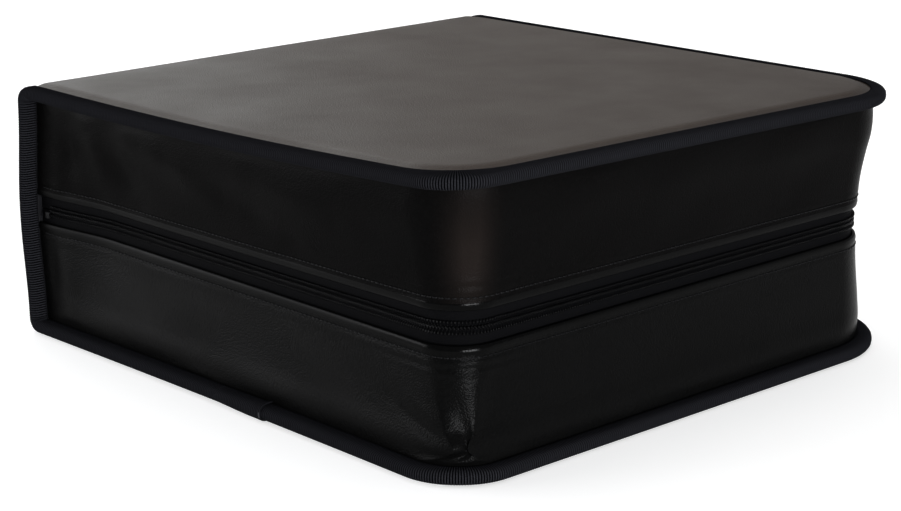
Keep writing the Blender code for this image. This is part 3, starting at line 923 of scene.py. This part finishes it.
def wall_rows():
    """(share of the height, distance outside the face) of each row, once round the section."""
    foot = (WALL_LOW - FLANGE) / (LIP_LEVEL - FLANGE)
    face = [(foot * (1 - t) + t, 0.0) for t in np.linspace(0, 1, FACE_ROWS)]
    rise = LIP_NOSE / (LIP_LEVEL - FLANGE)
    nose = [
        (1 + rise * math.sin(turn), -LIP_NOSE + LIP_NOSE * math.cos(turn))
        for turn in np.linspace(0, math.pi, 7)[1:-1]
    ]
    back = [(1 - t + foot * t, -WALL) for t in np.linspace(0, 1, BACK_ROWS)]
    rows = face + nose + back
    return np.array(rows + [rows[0]])


WALL_ROWS = wall_rows()


def station_share(along):
    """Stations from an even share of the strip's length, closer together at the corners."""
    counts = np.array([150, 62, 130, 62, 150], float)
    ends = np.concatenate([[0], np.cumsum(counts)]) / counts.sum()
    return np.interp(along, ends, range(6))


def wall(name, cover):
    """One wall, leatherette outside and cloth inside."""
    def place(along, across):
        row = across * (len(WALL_ROWS) - 1)
        share = np.interp(row, range(len(WALL_ROWS)), WALL_ROWS[:, 0])
        outward = np.interp(row, range(len(WALL_ROWS)), WALL_ROWS[:, 1])
        return on_wall(station_share(along), share, outward, cover)

    return wrapped_sheet(name, 554, len(WALL_ROWS) - 1, (WALL_LENGTH, WALL_GIRTH), place)


def finish_rows(piece):
    """Give the strip its three finishes by row: leatherette, polished lip, cloth backing."""
    faces = piece.data.polygons
    starts = np.empty(len(faces), np.int32)
    faces.foreach_get("loop_start", starts)
    uv = np.empty(len(piece.data.loops) * 2)
    piece.data.uv_layers.active.data.foreach_get("uv", uv)
    row = uv.reshape(-1, 2)[:, 1][starts] / WALL_GIRTH * (len(WALL_ROWS) - 1) + 0.5
    sides = np.empty(len(faces), np.int32)
    faces.foreach_get("loop_total", sides)
    on_lip = (row > FACE_ROWS - 3) & (row < FACE_ROWS + 5)
    behind = (row > FACE_ROWS + 5) & (row < len(WALL_ROWS) - 2)
    faces.foreach_set("material_index", np.where(sides > 4, 0, on_lip + 2 * behind).astype(np.int32))


for cover, body, level, leather in (
    ("back", "back_half", "lower", lower_leather), ("front", "front_half", "upper", upper_leather),
):
    finishes = [leather, lip_leather, lining_cloth]
    strip = finished(wall(f"{level}_soft_wall", cover), body, finishes, [f"{level}_wall"])
    finish_rows(strip)

# %% [markdown]
# ## The zipper
# Two tapes stand behind the lips, edge to edge. A nylon coil is sewn to each: every turn of it is
# a small arch, and the turns of the two coils stand between each other. One arch is modelled and
# arrayed, and the row is then carried on to the line.

# %% Tapes
TAPE_INSET = 0.0170
TAPE = 0.0008
TAPE_BEHIND_LIP = 0.0060
TAPE_LOW = LIP_LEVEL - TAPE_BEHIND_LIP
TAPE_GAP = 0.00035
ZIPPER_FLARE = 0.0060


def tape(name, cover):
    """One woven tape, closed in section."""
    section = np.array([
        (TAPE_INSET, TAPE_LOW), (TAPE_INSET - 0.0001, MID_Z - 0.006), (TAPE_INSET, MID_Z - TAPE_GAP),
        (TAPE_INSET + TAPE, MID_Z - TAPE_GAP), (TAPE_INSET + TAPE, TAPE_LOW), (TAPE_INSET, TAPE_LOW),
    ])

    def place(along, across):
        row = across * (len(section) - 1)
        inset = np.interp(row, range(len(section)), section[:, 0])
        level = np.interp(row, range(len(section)), section[:, 1])
        z = level if cover == "back" else HEIGHT - level
        station = station_share(along)
        inset = inset - ZIPPER_FLARE * flare(station)
        x, y = track(station, inset, CORNERS_AT_ZIPPER, wall_start(z))
        return settled(np.stack([x, y, z], axis=1))

    return wrapped_sheet(name, 400, len(section) - 1, (WALL_LENGTH, 0.03), place)


finished(tape("lower_tape", "back"), "back_half", [tape_cloth], ["lower_zipper_tape"])
finished(tape("upper_tape", "front"), "front_half", [tape_cloth], ["upper_zipper_tape"])

# %% One arch of the coil
COIL_PITCH = 0.00155
COIL_REACH = 0.0027


def cut_across(piece, axis, cuts):
    """Cut the long edges of an upright or lying cylinder, so that it gets rings between its ends."""
    def cut():
        bpy.ops.mesh.select_mode(type="EDGE")
        bpy.ops.mesh.select_all(action="DESELECT")
        bpy.ops.object.mode_set(mode="OBJECT")
        for edge in piece.data.edges:
            low, high = (piece.data.vertices[i].co[axis] for i in edge.vertices)
            edge.select = abs(low - high) > 0.5
        bpy.ops.object.mode_set(mode="EDIT")
        bpy.ops.mesh.subdivide(number_cuts=cuts)
        bpy.ops.mesh.select_mode(type="VERT")

    in_edit_mode(piece, cut)


def arch(points, radius, sides, name):
    """A bent piece of wire: a cylinder is added, cut into rings, and each ring set on the path."""
    piece = primitive(bpy.ops.mesh.primitive_cylinder_add, name, vertices=sides, radius=1, depth=1)
    rings = len(points)
    cut_across(piece, 2, rings - 2)
    flat = points_of(piece)
    path = np.array(points)
    place = np.clip(np.round((flat[:, 2] + 0.5) * (rings - 1)).astype(int), 0, rings - 1)
    ahead = np.gradient(path, axis=0)
    ahead /= np.linalg.norm(ahead, axis=1)[:, None]
    side = np.cross(ahead, np.array([1.0, 0.0, 0.0]) + 1e-6)
    side /= np.linalg.norm(side, axis=1)[:, None]
    other = np.cross(ahead, side)
    thick = np.broadcast_to(radius, rings)[place][:, None]
    set_points(piece, path[place] + thick * (flat[:, :1] * side[place] + flat[:, 1:2] * other[place]))
    return piece


def array_along(piece, count, pitch):
    """Repeat a modelled piece along X with an Array modifier, and apply it."""
    return applied(
        piece, "row", "ARRAY", count=count, use_relative_offset=False, use_constant_offset=True,
        constant_offset_displace=(pitch, 0, 0),
    )


# %% Both coils
CHAIN_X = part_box("lower_zipper_chain")[0].x
COIL_INSET = TAPE_INSET - 0.0001
COIL_PATH = (
    (0.0, 0.04, 0.18), (0.0006, -0.06, 0.26), (0.0013, 0.02, 0.38), (0.0013, 0.16, 0.34),
    (0.0006, 0.34, 0.16), (0.0002, 0.54, 0.13), (0.0006, 0.74, 0.18), (0.0012, 0.90, 0.32),
    (0.0011, 1.04, 0.32), (0.0003, 1.06, 0.20),
)


def coil(name, cover):
    """A row of arches on one tape; each is thick where it bends back and at its head."""
    is_lower = cover == "back"
    upward = 1 if is_lower else -1
    base = MID_Z - upward * COIL_REACH
    tip = MID_Z + upward * 0.00045
    slant = 0.00016 * upward
    points = [
        (slant * (2 * reach - 1), rise, base + (tip - base) * reach) for rise, reach, _ in COIL_PATH
    ]
    width = [thickness / 1000 for _, _, thickness in COIL_PATH]
    one = arch(points, width, 6, name)
    length = stretches(COIL_INSET, CORNERS_AT_ZIPPER, CHAIN_X)[-1]
    count = int(length / COIL_PITCH) - 1
    array_along(one, count, COIL_PITCH)
    flat = points_of(one)
    shift = COIL_PITCH * (0.5 if is_lower else 1.0)
    station = stations(flat[:, 0] + shift, COIL_INSET, CORNERS_AT_ZIPPER, CHAIN_X)
    inset = COIL_INSET - flat[:, 1] - ZIPPER_FLARE * flare(station)
    x, y = track(station, inset, CORNERS_AT_ZIPPER, CHAIN_X)
    set_points(one, settled(np.stack([x, y, flat[:, 2]], axis=1)))
    in_edit_mode(one, bpy.ops.mesh.normals_make_consistent)
    return one


for level, cover, body in (("lower", "back", "back_half"), ("upper", "front", "front_half")):
    row = coil(f"{level}_coil", cover)
    finished(row, body, [coil_nylon], [f"{level}_zipper_chain"], angle=60)

# %% [markdown]
# ## Stitches
# A row of thread runs 4.5 mm back from each lip and holds the turned edge and the tape. Each
# stitch is a short thread that dips into the leatherette at both ends.

# %% Topstitching
STITCH = 0.0030
STITCH_FROM_SPINE = 0.006
STITCH_FROM_LIP = 0.0045
STITCH_THICK = 0.00030
STITCH_PATH = np.array([
    (-1.25, -0.30), (-1.00, 0.12), (-0.40, 0.26), (0.40, 0.26), (1.00, 0.12), (1.25, -0.30),
]) / 1000


def one_stitch(name):
    """A short thread along X that dips at its ends."""
    piece = primitive(
        bpy.ops.mesh.primitive_cylinder_add, name, vertices=6, radius=1, depth=1,
        rotation=(0, math.pi / 2, 0),
    )
    bpy.ops.object.transform_apply(location=False, rotation=True, scale=False)
    last = len(STITCH_PATH) - 1
    cut_across(piece, 0, last - 1)
    flat = points_of(piece)
    on_path = STITCH_PATH[np.clip(np.round((flat[:, 0] + 0.5) * last).astype(int), 0, last)]
    set_points(piece, np.stack([
        on_path[:, 0], on_path[:, 1] + flat[:, 1] * STITCH_THICK, flat[:, 2] * STITCH_THICK,
    ], axis=1))
    return piece


def stitch_row(name, cover, share):
    """Stitches along a wall at a share of its height."""
    tables = (WALL_FACE, WALL_RADIUS, FAR_WALL_RADIUS)
    middle_inset, *radii = [float(curve_at(table[cover], np.array([share]))[0]) for table in tables]
    length = stretches(middle_inset, radii, WALL_X)[-1]
    piece = array_along(one_stitch(name), int((length - 2 * STITCH_FROM_SPINE) / STITCH), STITCH)
    flat = points_of(piece)
    station = stations(flat[:, 0] + STITCH_FROM_SPINE, middle_inset, radii, WALL_X)
    height = flat[:, 2] / (LIP_LEVEL - FLANGE)
    set_points(piece, on_wall(station, share + height, flat[:, 1], cover))
    in_edit_mode(piece, bpy.ops.mesh.normals_make_consistent)
    return piece


TOPSTITCH_SHARE = 1 - STITCH_FROM_LIP / (LIP_LEVEL - FLANGE)
for level, cover, body in (("lower", "back", "back_half"), ("upper", "front", "front_half")):
    finished(stitch_row(f"{level}_topstitch", cover, TOPSTITCH_SHARE), body, [sewing_thread])

# %% [markdown]
# ## The end of the ribbon
# The bottom ribbon's two ends meet on the near side: one laps over the other, and its cut end
# curls out a little.

# %% Lapped ribbon end
LAPPED_FROM, LAPPED_TO = 0.150, 0.1935
CUT_END = 0.0009
CUT_LEVEL = 0.0041


def lapped_end(name):
    """A short second layer over the ribbon's outer face, curled at its cut end."""
    cover = "back"
    drop, length = fold_run(cover), ribbon_length(cover)
    outer = (OUTER_ROWS - 0.6) / (len(RIBBON_SECTION) - 1)

    def place(along, across):
        side = np.abs(2 * across - 1)
        spread = 0.03 + 0.94 * (1 - side) * outer
        above = np.where(across < 0.5, 0.00075, 0.00025)
        curl = 0.0008 * smooth(0.86, 1.0, along) * smooth(0.25, 0.85, (1 - side))
        distance = drop + LAPPED_FROM + (LAPPED_TO - LAPPED_FROM) * along
        begin = smooth(0, 0.8, along)
        outward = (above + curl) * begin - 0.00005 * (1 - begin)
        return ribbon_place(distance / length, spread, cover, outward)

    return wrapped_sheet(name, 96, 36, (LAPPED_TO - LAPPED_FROM, RIBBON_GIRTH), place)


lap_piece = finished(
    lapped_end("lapped_ribbon_end"), "back_half", [ribbon_cloth, cut_threads], angle=75,
)
cut_from = SPINE_X + FOLD["back"] + LAPPED_TO - CUT_END
centres = np.array([tuple(face.center) for face in lap_piece.data.polygons])
is_cut = (centres[:, 0] > cut_from) & (np.abs(centres[:, 2] - CUT_LEVEL) < 0.0011)
lap_piece.data.polygons.foreach_set("material_index", is_cut.astype(np.int32))

# %% [markdown]
# ## Boards and linings
# The front cover's board and lining rise with it. Under each fold a strip of lining joins the
# cover's cloth to the spine's.

# %% Slabs inside the front cover
SLAB_INSET = 0.0109


def cover_slab(name, level_out, level_in, columns, rows):
    """A flat layer inside the front cover, with the cover's rounded corners."""
    def place(along, across):
        y = (2 * across - 1) * (SIDE_Y - SLAB_INSET)
        radius = np.where(y < 0, *LAP_CORNERS["front"])
        beyond = np.maximum(np.abs(y) - (SIDE_Y - radius), 0)
        reach = FORE_X - radius + np.sqrt(np.maximum((radius - SLAB_INSET) ** 2 - beyond**2, 0))
        start = SPINE_X + 0.0068
        return settled(np.stack([start + (reach - start) * along, y, HEIGHT - level_out + 0 * y], axis=1))

    piece = wrapped_sheet(name, columns, rows, (0.32, 0.31), place, closed=False)
    applied(piece, "thickness", "SOLIDIFY", thickness=level_in - level_out, offset=-1)
    in_edit_mode(piece, bpy.ops.mesh.normals_make_consistent)
    return piece


for layer, material, levels, cells in (
    ("board", grey_board, (0.0040, 0.0056), (24, 36)), ("lining", lining_cloth, (0.0058, 0.0071), (40, 60)),
):
    slab = cover_slab(f"front_{layer}", *levels, *cells)
    finished(slab, "front_half", [material], [f"front_cover_{layer}"])


# %% Lining over the folds
HINGE_PATH = np.array([(9.6, 7.3), (8.9, 7.6), (8.1, 8.5), (7.6, 10.0), (7.5, 13.0), (7.6, 18.0)]) / 1000
HINGE_CLOTH = 0.0004
HINGE_HALF_LENGTH = 0.150


def hinge_strip(name, cover):
    """A cloth strip that runs from the cover's lining round the inside of the fold."""
    def place(along, across):
        row = np.abs(2 * across - 1) * (len(HINGE_PATH) - 1)
        away = np.interp(row, range(len(HINGE_PATH)), HINGE_PATH[:, 0])
        level = np.interp(row, range(len(HINGE_PATH)), HINGE_PATH[:, 1])
        layer = np.where(across < 0.5, 0.0, HINGE_CLOTH) * smooth(0, 0.3, row)
        y = (2 * along - 1) * HINGE_HALF_LENGTH
        z = level + layer if cover == "back" else HEIGHT - level - layer
        return settled(np.stack([SPINE_X + away + layer, y, z], axis=1))

    return wrapped_sheet(name, 40, 40, (2 * HINGE_HALF_LENGTH, 0.012), place)


for cover, name in (("back", "lower_hinge_lining"), ("front", "upper_hinge_lining")):
    bend_at_fold(finished(hinge_strip(name, cover), None, [lining_cloth]), cover)


# %% [markdown]
# ## Sleeves and binder
# The leaves are a stack of thin slabs that don't quite line up, under one leaf that shows its
# two by two pockets: welds between them, a disc's faint dome in each, and thumb cuts.

# %% Blocks
def block(name, low, high, bevel, segments=2):
    """A box between two corners with rounded edges."""
    piece = primitive(bpy.ops.mesh.primitive_cube_add, name, size=1)
    low, high = np.array(low), np.array(high)
    set_points(piece, low + (points_of(piece) + 0.5) * (high - low))
    return applied(piece, "edges", "BEVEL", width=bevel, segments=segments)


def joined(name, pieces):
    """Join modelled pieces into one."""
    bpy.ops.object.select_all(action="DESELECT")
    for piece in pieces:
        piece.select_set(True)
    bpy.context.view_layer.objects.active = pieces[0]
    bpy.ops.object.join()
    pieces[0].name = pieces[0].data.name = name
    return pieces[0]


# %% Sleeves
SLEEVES_LOW, SLEEVES_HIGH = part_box("disc_sleeves")
LEAVES = 18
LEAF_PITCH = (SLEEVES_HIGH.z - SLEEVES_LOW.z) / LEAVES


def top_leaf(name):
    """The uppermost leaf, with its pockets."""
    low, high = SLEEVES_LOW, SLEEVES_HIGH
    middle_x = (low.x + 0.020 + high.x) / 2

    def place(along, across):
        x = low.x + (high.x - low.x) * along
        y = low.y + (high.y - low.y) * across
        seam = np.minimum(np.abs(x - middle_x), np.abs(y))
        edge = np.minimum(np.minimum(x - low.x - 0.018, high.x - x), high.y - np.abs(y))
        weld = smooth(0.0030, 0.0012, np.minimum(seam, np.maximum(edge, 0)))
        centre_x = np.where(x < middle_x, (low.x + 0.020 + middle_x) / 2, (middle_x + high.x) / 2)
        radius = np.hypot(x - centre_x, np.abs(y) - high.y / 2)
        disc = smooth(0.062, 0.056, radius) * (1 - 0.5 * smooth(0.012, 0.008, radius))
        thumb = smooth(0.0125, 0.0115, np.hypot(x - centre_x, np.abs(y) - 0.003))
        z = high.z - 0.0007 + 0.0006 * disc - 0.0005 * weld - 0.0005 * thumb
        return np.stack([x, y, z], axis=1)

    piece = wrapped_sheet(name, 112, 112, (0.283, 0.278), place, closed=False)
    return applied(piece, "thickness", "SOLIDIFY", thickness=0.0010, offset=-1)


leaves = []
for count in range(LEAVES - 1):
    low_z = SLEEVES_LOW.z + LEAF_PITCH * count
    drift = 0.0011 * math.sin(count * 2.4)
    leaves.append(block(
        "leaf", (SLEEVES_LOW.x, SLEEVES_LOW.y + 0.0012 + drift, low_z + 0.0002),
        (SLEEVES_HIGH.x - 0.0016 + 0.0014 * math.sin(count * 1.7 + 1),
         SLEEVES_HIGH.y - 0.0012 + drift * 0.8, low_z + LEAF_PITCH - 0.0002), 0.0006,
    ))
finished(joined("sleeve_stack", leaves), "back_half", [sleeve_film], ["disc_sleeves"])
finished(top_leaf("top_sleeve"), "back_half", [sleeve_film], ["disc_sleeves"])

# %% Rails and posts
for name, made in (("binder_base_rail", "base_rail"), ("binder_clamp_rail", "clamp_rail")):
    rail = block(made, *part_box(name), 0.0005, 3)
    finished(rail, "back_half", [binder_plastic], [name])


def turned(name, centre, radius, low_z, high_z, bevel):
    """A cylinder with rounded rims."""
    piece = primitive(
        bpy.ops.mesh.primitive_cylinder_add, name, vertices=40, radius=radius, depth=high_z - low_z,
    )
    set_points(piece, points_of(piece) + np.array([*centre, (low_z + high_z) / 2]))
    return applied(
        piece, "rims", "BEVEL", width=bevel, segments=3, limit_method="ANGLE", angle_limit=math.radians(40),
    )


def post(name, source, turn):
    """A binding post: shaft and slotted head."""
    low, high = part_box(source)
    centre = ((low.x + high.x) / 2, (low.y + high.y) / 2)
    rail_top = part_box("binder_clamp_rail")[1].z
    head = turned("head", centre, (high.x - low.x) / 2, rail_top, high.z, 0.0004)
    slot = block("slot", (-0.0065, -0.0006, high.z - 0.0008), (0.0065, 0.0006, high.z + 0.001), 0.0001, 1)
    flat = points_of(slot)
    c, s = math.cos(turn), math.sin(turn)
    set_points(slot, np.stack([
        centre[0] + c * flat[:, 0] - s * flat[:, 1], centre[1] + s * flat[:, 0] + c * flat[:, 1],
        flat[:, 2],
    ], axis=1))
    applied(head, "slot", "BOOLEAN", operation="DIFFERENCE", object=slot)
    bpy.data.objects.remove(slot)
    shaft = turned("shaft", centre, 0.003, low.z, rail_top + 0.0002, 0.0003)
    return joined(name, [head, shaft])


for number, turn in ((1, 0.4), (2, 1.9), (3, 1.1)):
    source = f"binder_post_{number}"
    made = post(f"screw_post_{number}", source, turn)
    finished(made, "back_half", [binder_plastic], [source])

# %% [markdown]
# ## Slider, pull and stops
# The slider's two plates hold the coil between their lips, and a strap on the outer plate carries
# the pull. The pull is a rounded blade with grip ribs and an eye round the strap.

# %% Slider
SLIDER_LOW, SLIDER_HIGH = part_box("zipper_slider")
AXIS = Vector((-0.148, 0.1533, MID_Z))
OUTER_PLATE_Y = 0.1496
PLATE = 0.0012
WAIST = 0.16


def slider(name):
    """Plates, lips, nose and strap."""
    x0, x1, z0, z1 = SLIDER_LOW.x, SLIDER_HIGH.x, SLIDER_LOW.z, SLIDER_HIGH.z
    outer, inner, strap_out = OUTER_PLATE_Y, SLIDER_LOW.y, SLIDER_HIGH.y

    def on_axis(part, from_x, to_x, from_y, to_y, half, *edges):
        return block(part, (from_x, from_y, MID_Z - half), (to_x, to_y, MID_Z + half), *edges)

    plates = [
        block("outer_plate", (x0, outer, z0), (x1, outer + PLATE, z1), 0.0005, 3),
        block("inner_plate", (x0, inner, z0), (x1, inner + PLATE, z1), 0.0005, 3),
        on_axis("nose", x0 + 0.0004, x0 + 0.0036, inner + 0.0008, outer + 0.0004, 0.0005, 0.0002, 1),
        on_axis("strap_foot", x0 + 0.0020, x0 + 0.0032, outer + 0.0008, strap_out, 0.0009, 0.0003),
        on_axis("strap_end", x1 - 0.0032, x1 - 0.0020, outer + 0.0008, strap_out, 0.0009, 0.0003),
        on_axis("strap", x0 + 0.0020, x1 - 0.0020, strap_out - PLATE, strap_out, 0.0009, 0.0004, 3),
    ]
    for low_z, high_z in ((z0, z0 + 0.0008), (z1 - 0.0008, z1)):
        plates.append(block("lip", (x0, outer - 0.0008, low_z), (x1, outer + 0.0006, high_z), 0.0002, 1))
        plates.append(block("lip", (x0, inner + 0.0008, low_z), (x1, inner + 0.0018, high_z), 0.0002, 1))
    made = joined(name, plates)
    points = points_of(made)
    waist = 1 - WAIST * np.clip((points[:, 0] - x0) / (x1 - x0), 0, 1) ** 2
    on_outer = points[:, 1] > outer - 0.0001
    points[:, 2] = MID_Z + (points[:, 2] - MID_Z) * np.where(on_outer, waist, 1)
    set_points(made, points)
    return made


BLADE_RADIUS = 0.004


def pull(name):
    """Blade, grip ribs, neck and eye."""
    blade = primitive(
        bpy.ops.mesh.primitive_cylinder_add, "blade", vertices=48, radius=BLADE_RADIUS, depth=0.0013,
        rotation=(math.pi / 2, 0, 0),
    )
    bpy.ops.object.transform_apply(location=False, rotation=True, scale=False)
    flat = points_of(blade)
    upper = flat[:, 2] > 0
    flat[:, 0] *= np.where(upper, 1 - 0.35 * flat[:, 2] / BLADE_RADIUS, 1)
    flat[:, 2] += np.where(upper, 0.0595, 0.0410)
    set_points(blade, flat + np.array([AXIS.x, AXIS.y, 0]))
    parts = [applied(blade, "edges", "BEVEL", width=0.0003, segments=2, limit_method="ANGLE")]

    def on_blade(part, half_x, half_y, low_z, high_z, *edges):
        low, high = (AXIS.x - half_x, AXIS.y - half_y, low_z), (AXIS.x + half_x, AXIS.y + half_y, high_z)
        parts.append(block(part, low, high, *edges))

    for number in range(5):
        z = 0.0405 + 0.0022 * number
        on_blade("rib", 0.0027, 0.0009, z, z + 0.0008, 0.0002, 1)
    on_blade("neck", 0.0014, 0.0006, 0.0620, 0.0656, 0.0003)
    eye = primitive(
        bpy.ops.mesh.primitive_torus_add, "eye", major_radius=0.00155, minor_radius=0.0004,
        major_segments=36, minor_segments=12, rotation=(0, math.pi / 2, 0),
    )
    bpy.ops.object.transform_apply(location=False, rotation=True, scale=False)
    set_points(eye, points_of(eye) * np.array([3.5, 1, 1]) + np.array(AXIS))
    parts.append(eye)
    return joined(name, parts)


finished(slider("slider_body"), "slider", [enamel], ["zipper_slider"])
finished(pull("slider_pull"), "pull", [enamel], ["zipper_pull"])

# %% Stops
for source, body, out in (
    ("lower_end_stop", "back_half", 0.0), ("upper_end_stop", "front_half", 0.0),
    ("zipper_start_stop", "back_half", -ZIPPER_FLARE),
):
    low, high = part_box(source)
    shift = Vector((0, out, 0))
    clamp = block(f"{source}_clamp", low + shift, high + shift, 0.0004, 3)
    finished(clamp, body, [black_metal], [source])

# %% [markdown]
# ## Pieces that keep their frame shape
# The spine's board and lining and the back cover's are right as they are.

# %% Finishes on the frame's own pieces
CARRIED = {
    "back_cover_board": grey_board, "spine_board": grey_board,
    "back_cover_lining": lining_cloth, "spine_lining": lining_cloth,
}
for name, material in CARRIED.items():
    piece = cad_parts[name]
    piece.data.materials.clear()
    piece.data.materials.append(material)

# %% [markdown]
# ## Floor, light and camera
# The floor is pale and large, so that it fills the view. Two broad soft lights behind skim the
# top, as a window does, a third fills from above, a low one near the camera draws the glints on
# the rounded corner, and one on the left lights the long side.

# %% Floor
FLOOR_GLOW = 0.55
floor = primitive(bpy.ops.mesh.primitive_plane_add, "floor", size=16, location=(0, 0, -0.0002))
bpy.ops.object.transform_apply(location=True, rotation=False, scale=False)
white = bpy.data.materials.new("pale_floor")
white.use_nodes = True
floor_shader = white.node_tree.nodes["Principled BSDF"]
floor_shader.inputs["Base Color"].default_value = (0.80, 0.80, 0.80, 1)
floor_shader.inputs["Roughness"].default_value = 0.9
floor_shader.inputs["Specular IOR Level"].default_value = 0.1
floor_shader.inputs["Emission Color"].default_value = (1, 1, 1, 1)
ray = node(white, "ShaderNodeLightPath")
seen = reckoned(white, "MAXIMUM", ray.outputs["Is Camera Ray"], ray.outputs["Is Glossy Ray"])
seen = reckoned(white, "MAXIMUM", seen, ray.outputs["Is Transmission Ray"])
glow = reckoned(white, "MULTIPLY", seen, FLOOR_GLOW)
white.node_tree.links.new(glow, floor_shader.inputs["Emission Strength"])
floor.data.materials.append(white)
floor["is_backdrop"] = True

# %% World
world = bpy.data.worlds.new("studio")
bpy.context.scene.world = world
world.use_nodes = True
world.node_tree.nodes["Background"].inputs["Color"].default_value = (0.97, 0.98, 1.0, 1)
world.node_tree.nodes["Background"].inputs["Strength"].default_value = 0.33


# %% Lamps
def soft_light(name, azimuth, elevation, distance, size, power, colour):
    """A rectangular soft box that faces the case from a direction given in degrees."""
    a, e = math.radians(azimuth), math.radians(elevation)
    place = Vector((math.sin(a) * math.cos(e), -math.cos(a) * math.cos(e), math.sin(e))) * distance
    data = bpy.data.lights.new(name, "AREA")
    data.shape = "RECTANGLE"
    data.size, data.size_y = size
    data.energy = power
    data.color = colour
    lamp = bpy.data.objects.new(name, data)
    bpy.context.scene.collection.objects.link(lamp)
    lamp.location = place + Vector((0, 0, 0.06))
    lamp.rotation_mode = "QUATERNION"
    lamp.rotation_quaternion = (-place).to_track_quat("-Z", "Y")


CAMERA_AZIMUTH = 47.4
soft_light("window_behind", CAMERA_AZIMUTH + 180 + 36, 24, 2.6, (2.7, 1.5), 15, (0.92, 0.98, 1.0))
soft_light("window_side", CAMERA_AZIMUTH + 180 + 12, 26, 2.6, (2.7, 1.5), 3.8, (1.0, 0.90, 0.78))
soft_light("ceiling", CAMERA_AZIMUTH + 180, 74, 2.4, (2.2, 2.2), 18, (1.0, 0.98, 0.95))
soft_light("corner_strip", CAMERA_AZIMUTH + 24, 3.5, 1.9, (0.95, 0.34), 42, (0.97, 0.98, 1.0))
soft_light("left_fill", CAMERA_AZIMUTH - 92, 9, 2.2, (1.8, 0.8), 30, (0.98, 0.98, 1.0))

# %% Camera
CAMERA_ELEVATION = 15.5
CAMERA_ROLL = -0.273
CAMERA_DISTANCE = 1.1924
CAMERA_FOCUS_Z = 0.075
CAMERA_RIGHT = -0.00707
CAMERA_UP = -0.02995
FOCAL_PIXELS = 2283
PICTURE_WIDTH = 901
SENSOR = 36

a, e = math.radians(CAMERA_AZIMUTH), math.radians(CAMERA_ELEVATION)
back = Vector((math.sin(a) * math.cos(e), -math.cos(a) * math.cos(e), math.sin(e)))
right = Vector((math.cos(a), math.sin(a), 0))
up = back.cross(right)
place = Vector((0, 0, CAMERA_FOCUS_Z)) + back * CAMERA_DISTANCE + right * CAMERA_RIGHT + up * CAMERA_UP
r = math.radians(CAMERA_ROLL)
right_rolled = right * math.cos(r) + up * math.sin(r)
up_rolled = up * math.cos(r) - right * math.sin(r)
camera_data = bpy.data.cameras.new("camera")
camera_data.sensor_width = SENSOR
camera_data.lens = SENSOR * FOCAL_PIXELS / PICTURE_WIDTH
camera_data.clip_end = 30
camera = bpy.data.objects.new("camera", camera_data)
bpy.context.scene.collection.objects.link(camera)
camera.matrix_world = Matrix((
    (right_rolled.x, up_rolled.x, back.x, place.x),
    (right_rolled.y, up_rolled.y, back.y, place.y),
    (right_rolled.z, up_rolled.z, back.z, place.z),
    (0, 0, 0, 1),
))
bpy.context.scene.camera = camera
bpy.context.scene.view_settings.view_transform = "Standard"

# %% Size of the dressed model
low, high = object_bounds()
print("visual box:", [round(value, 4) for value in (*low, *high)])
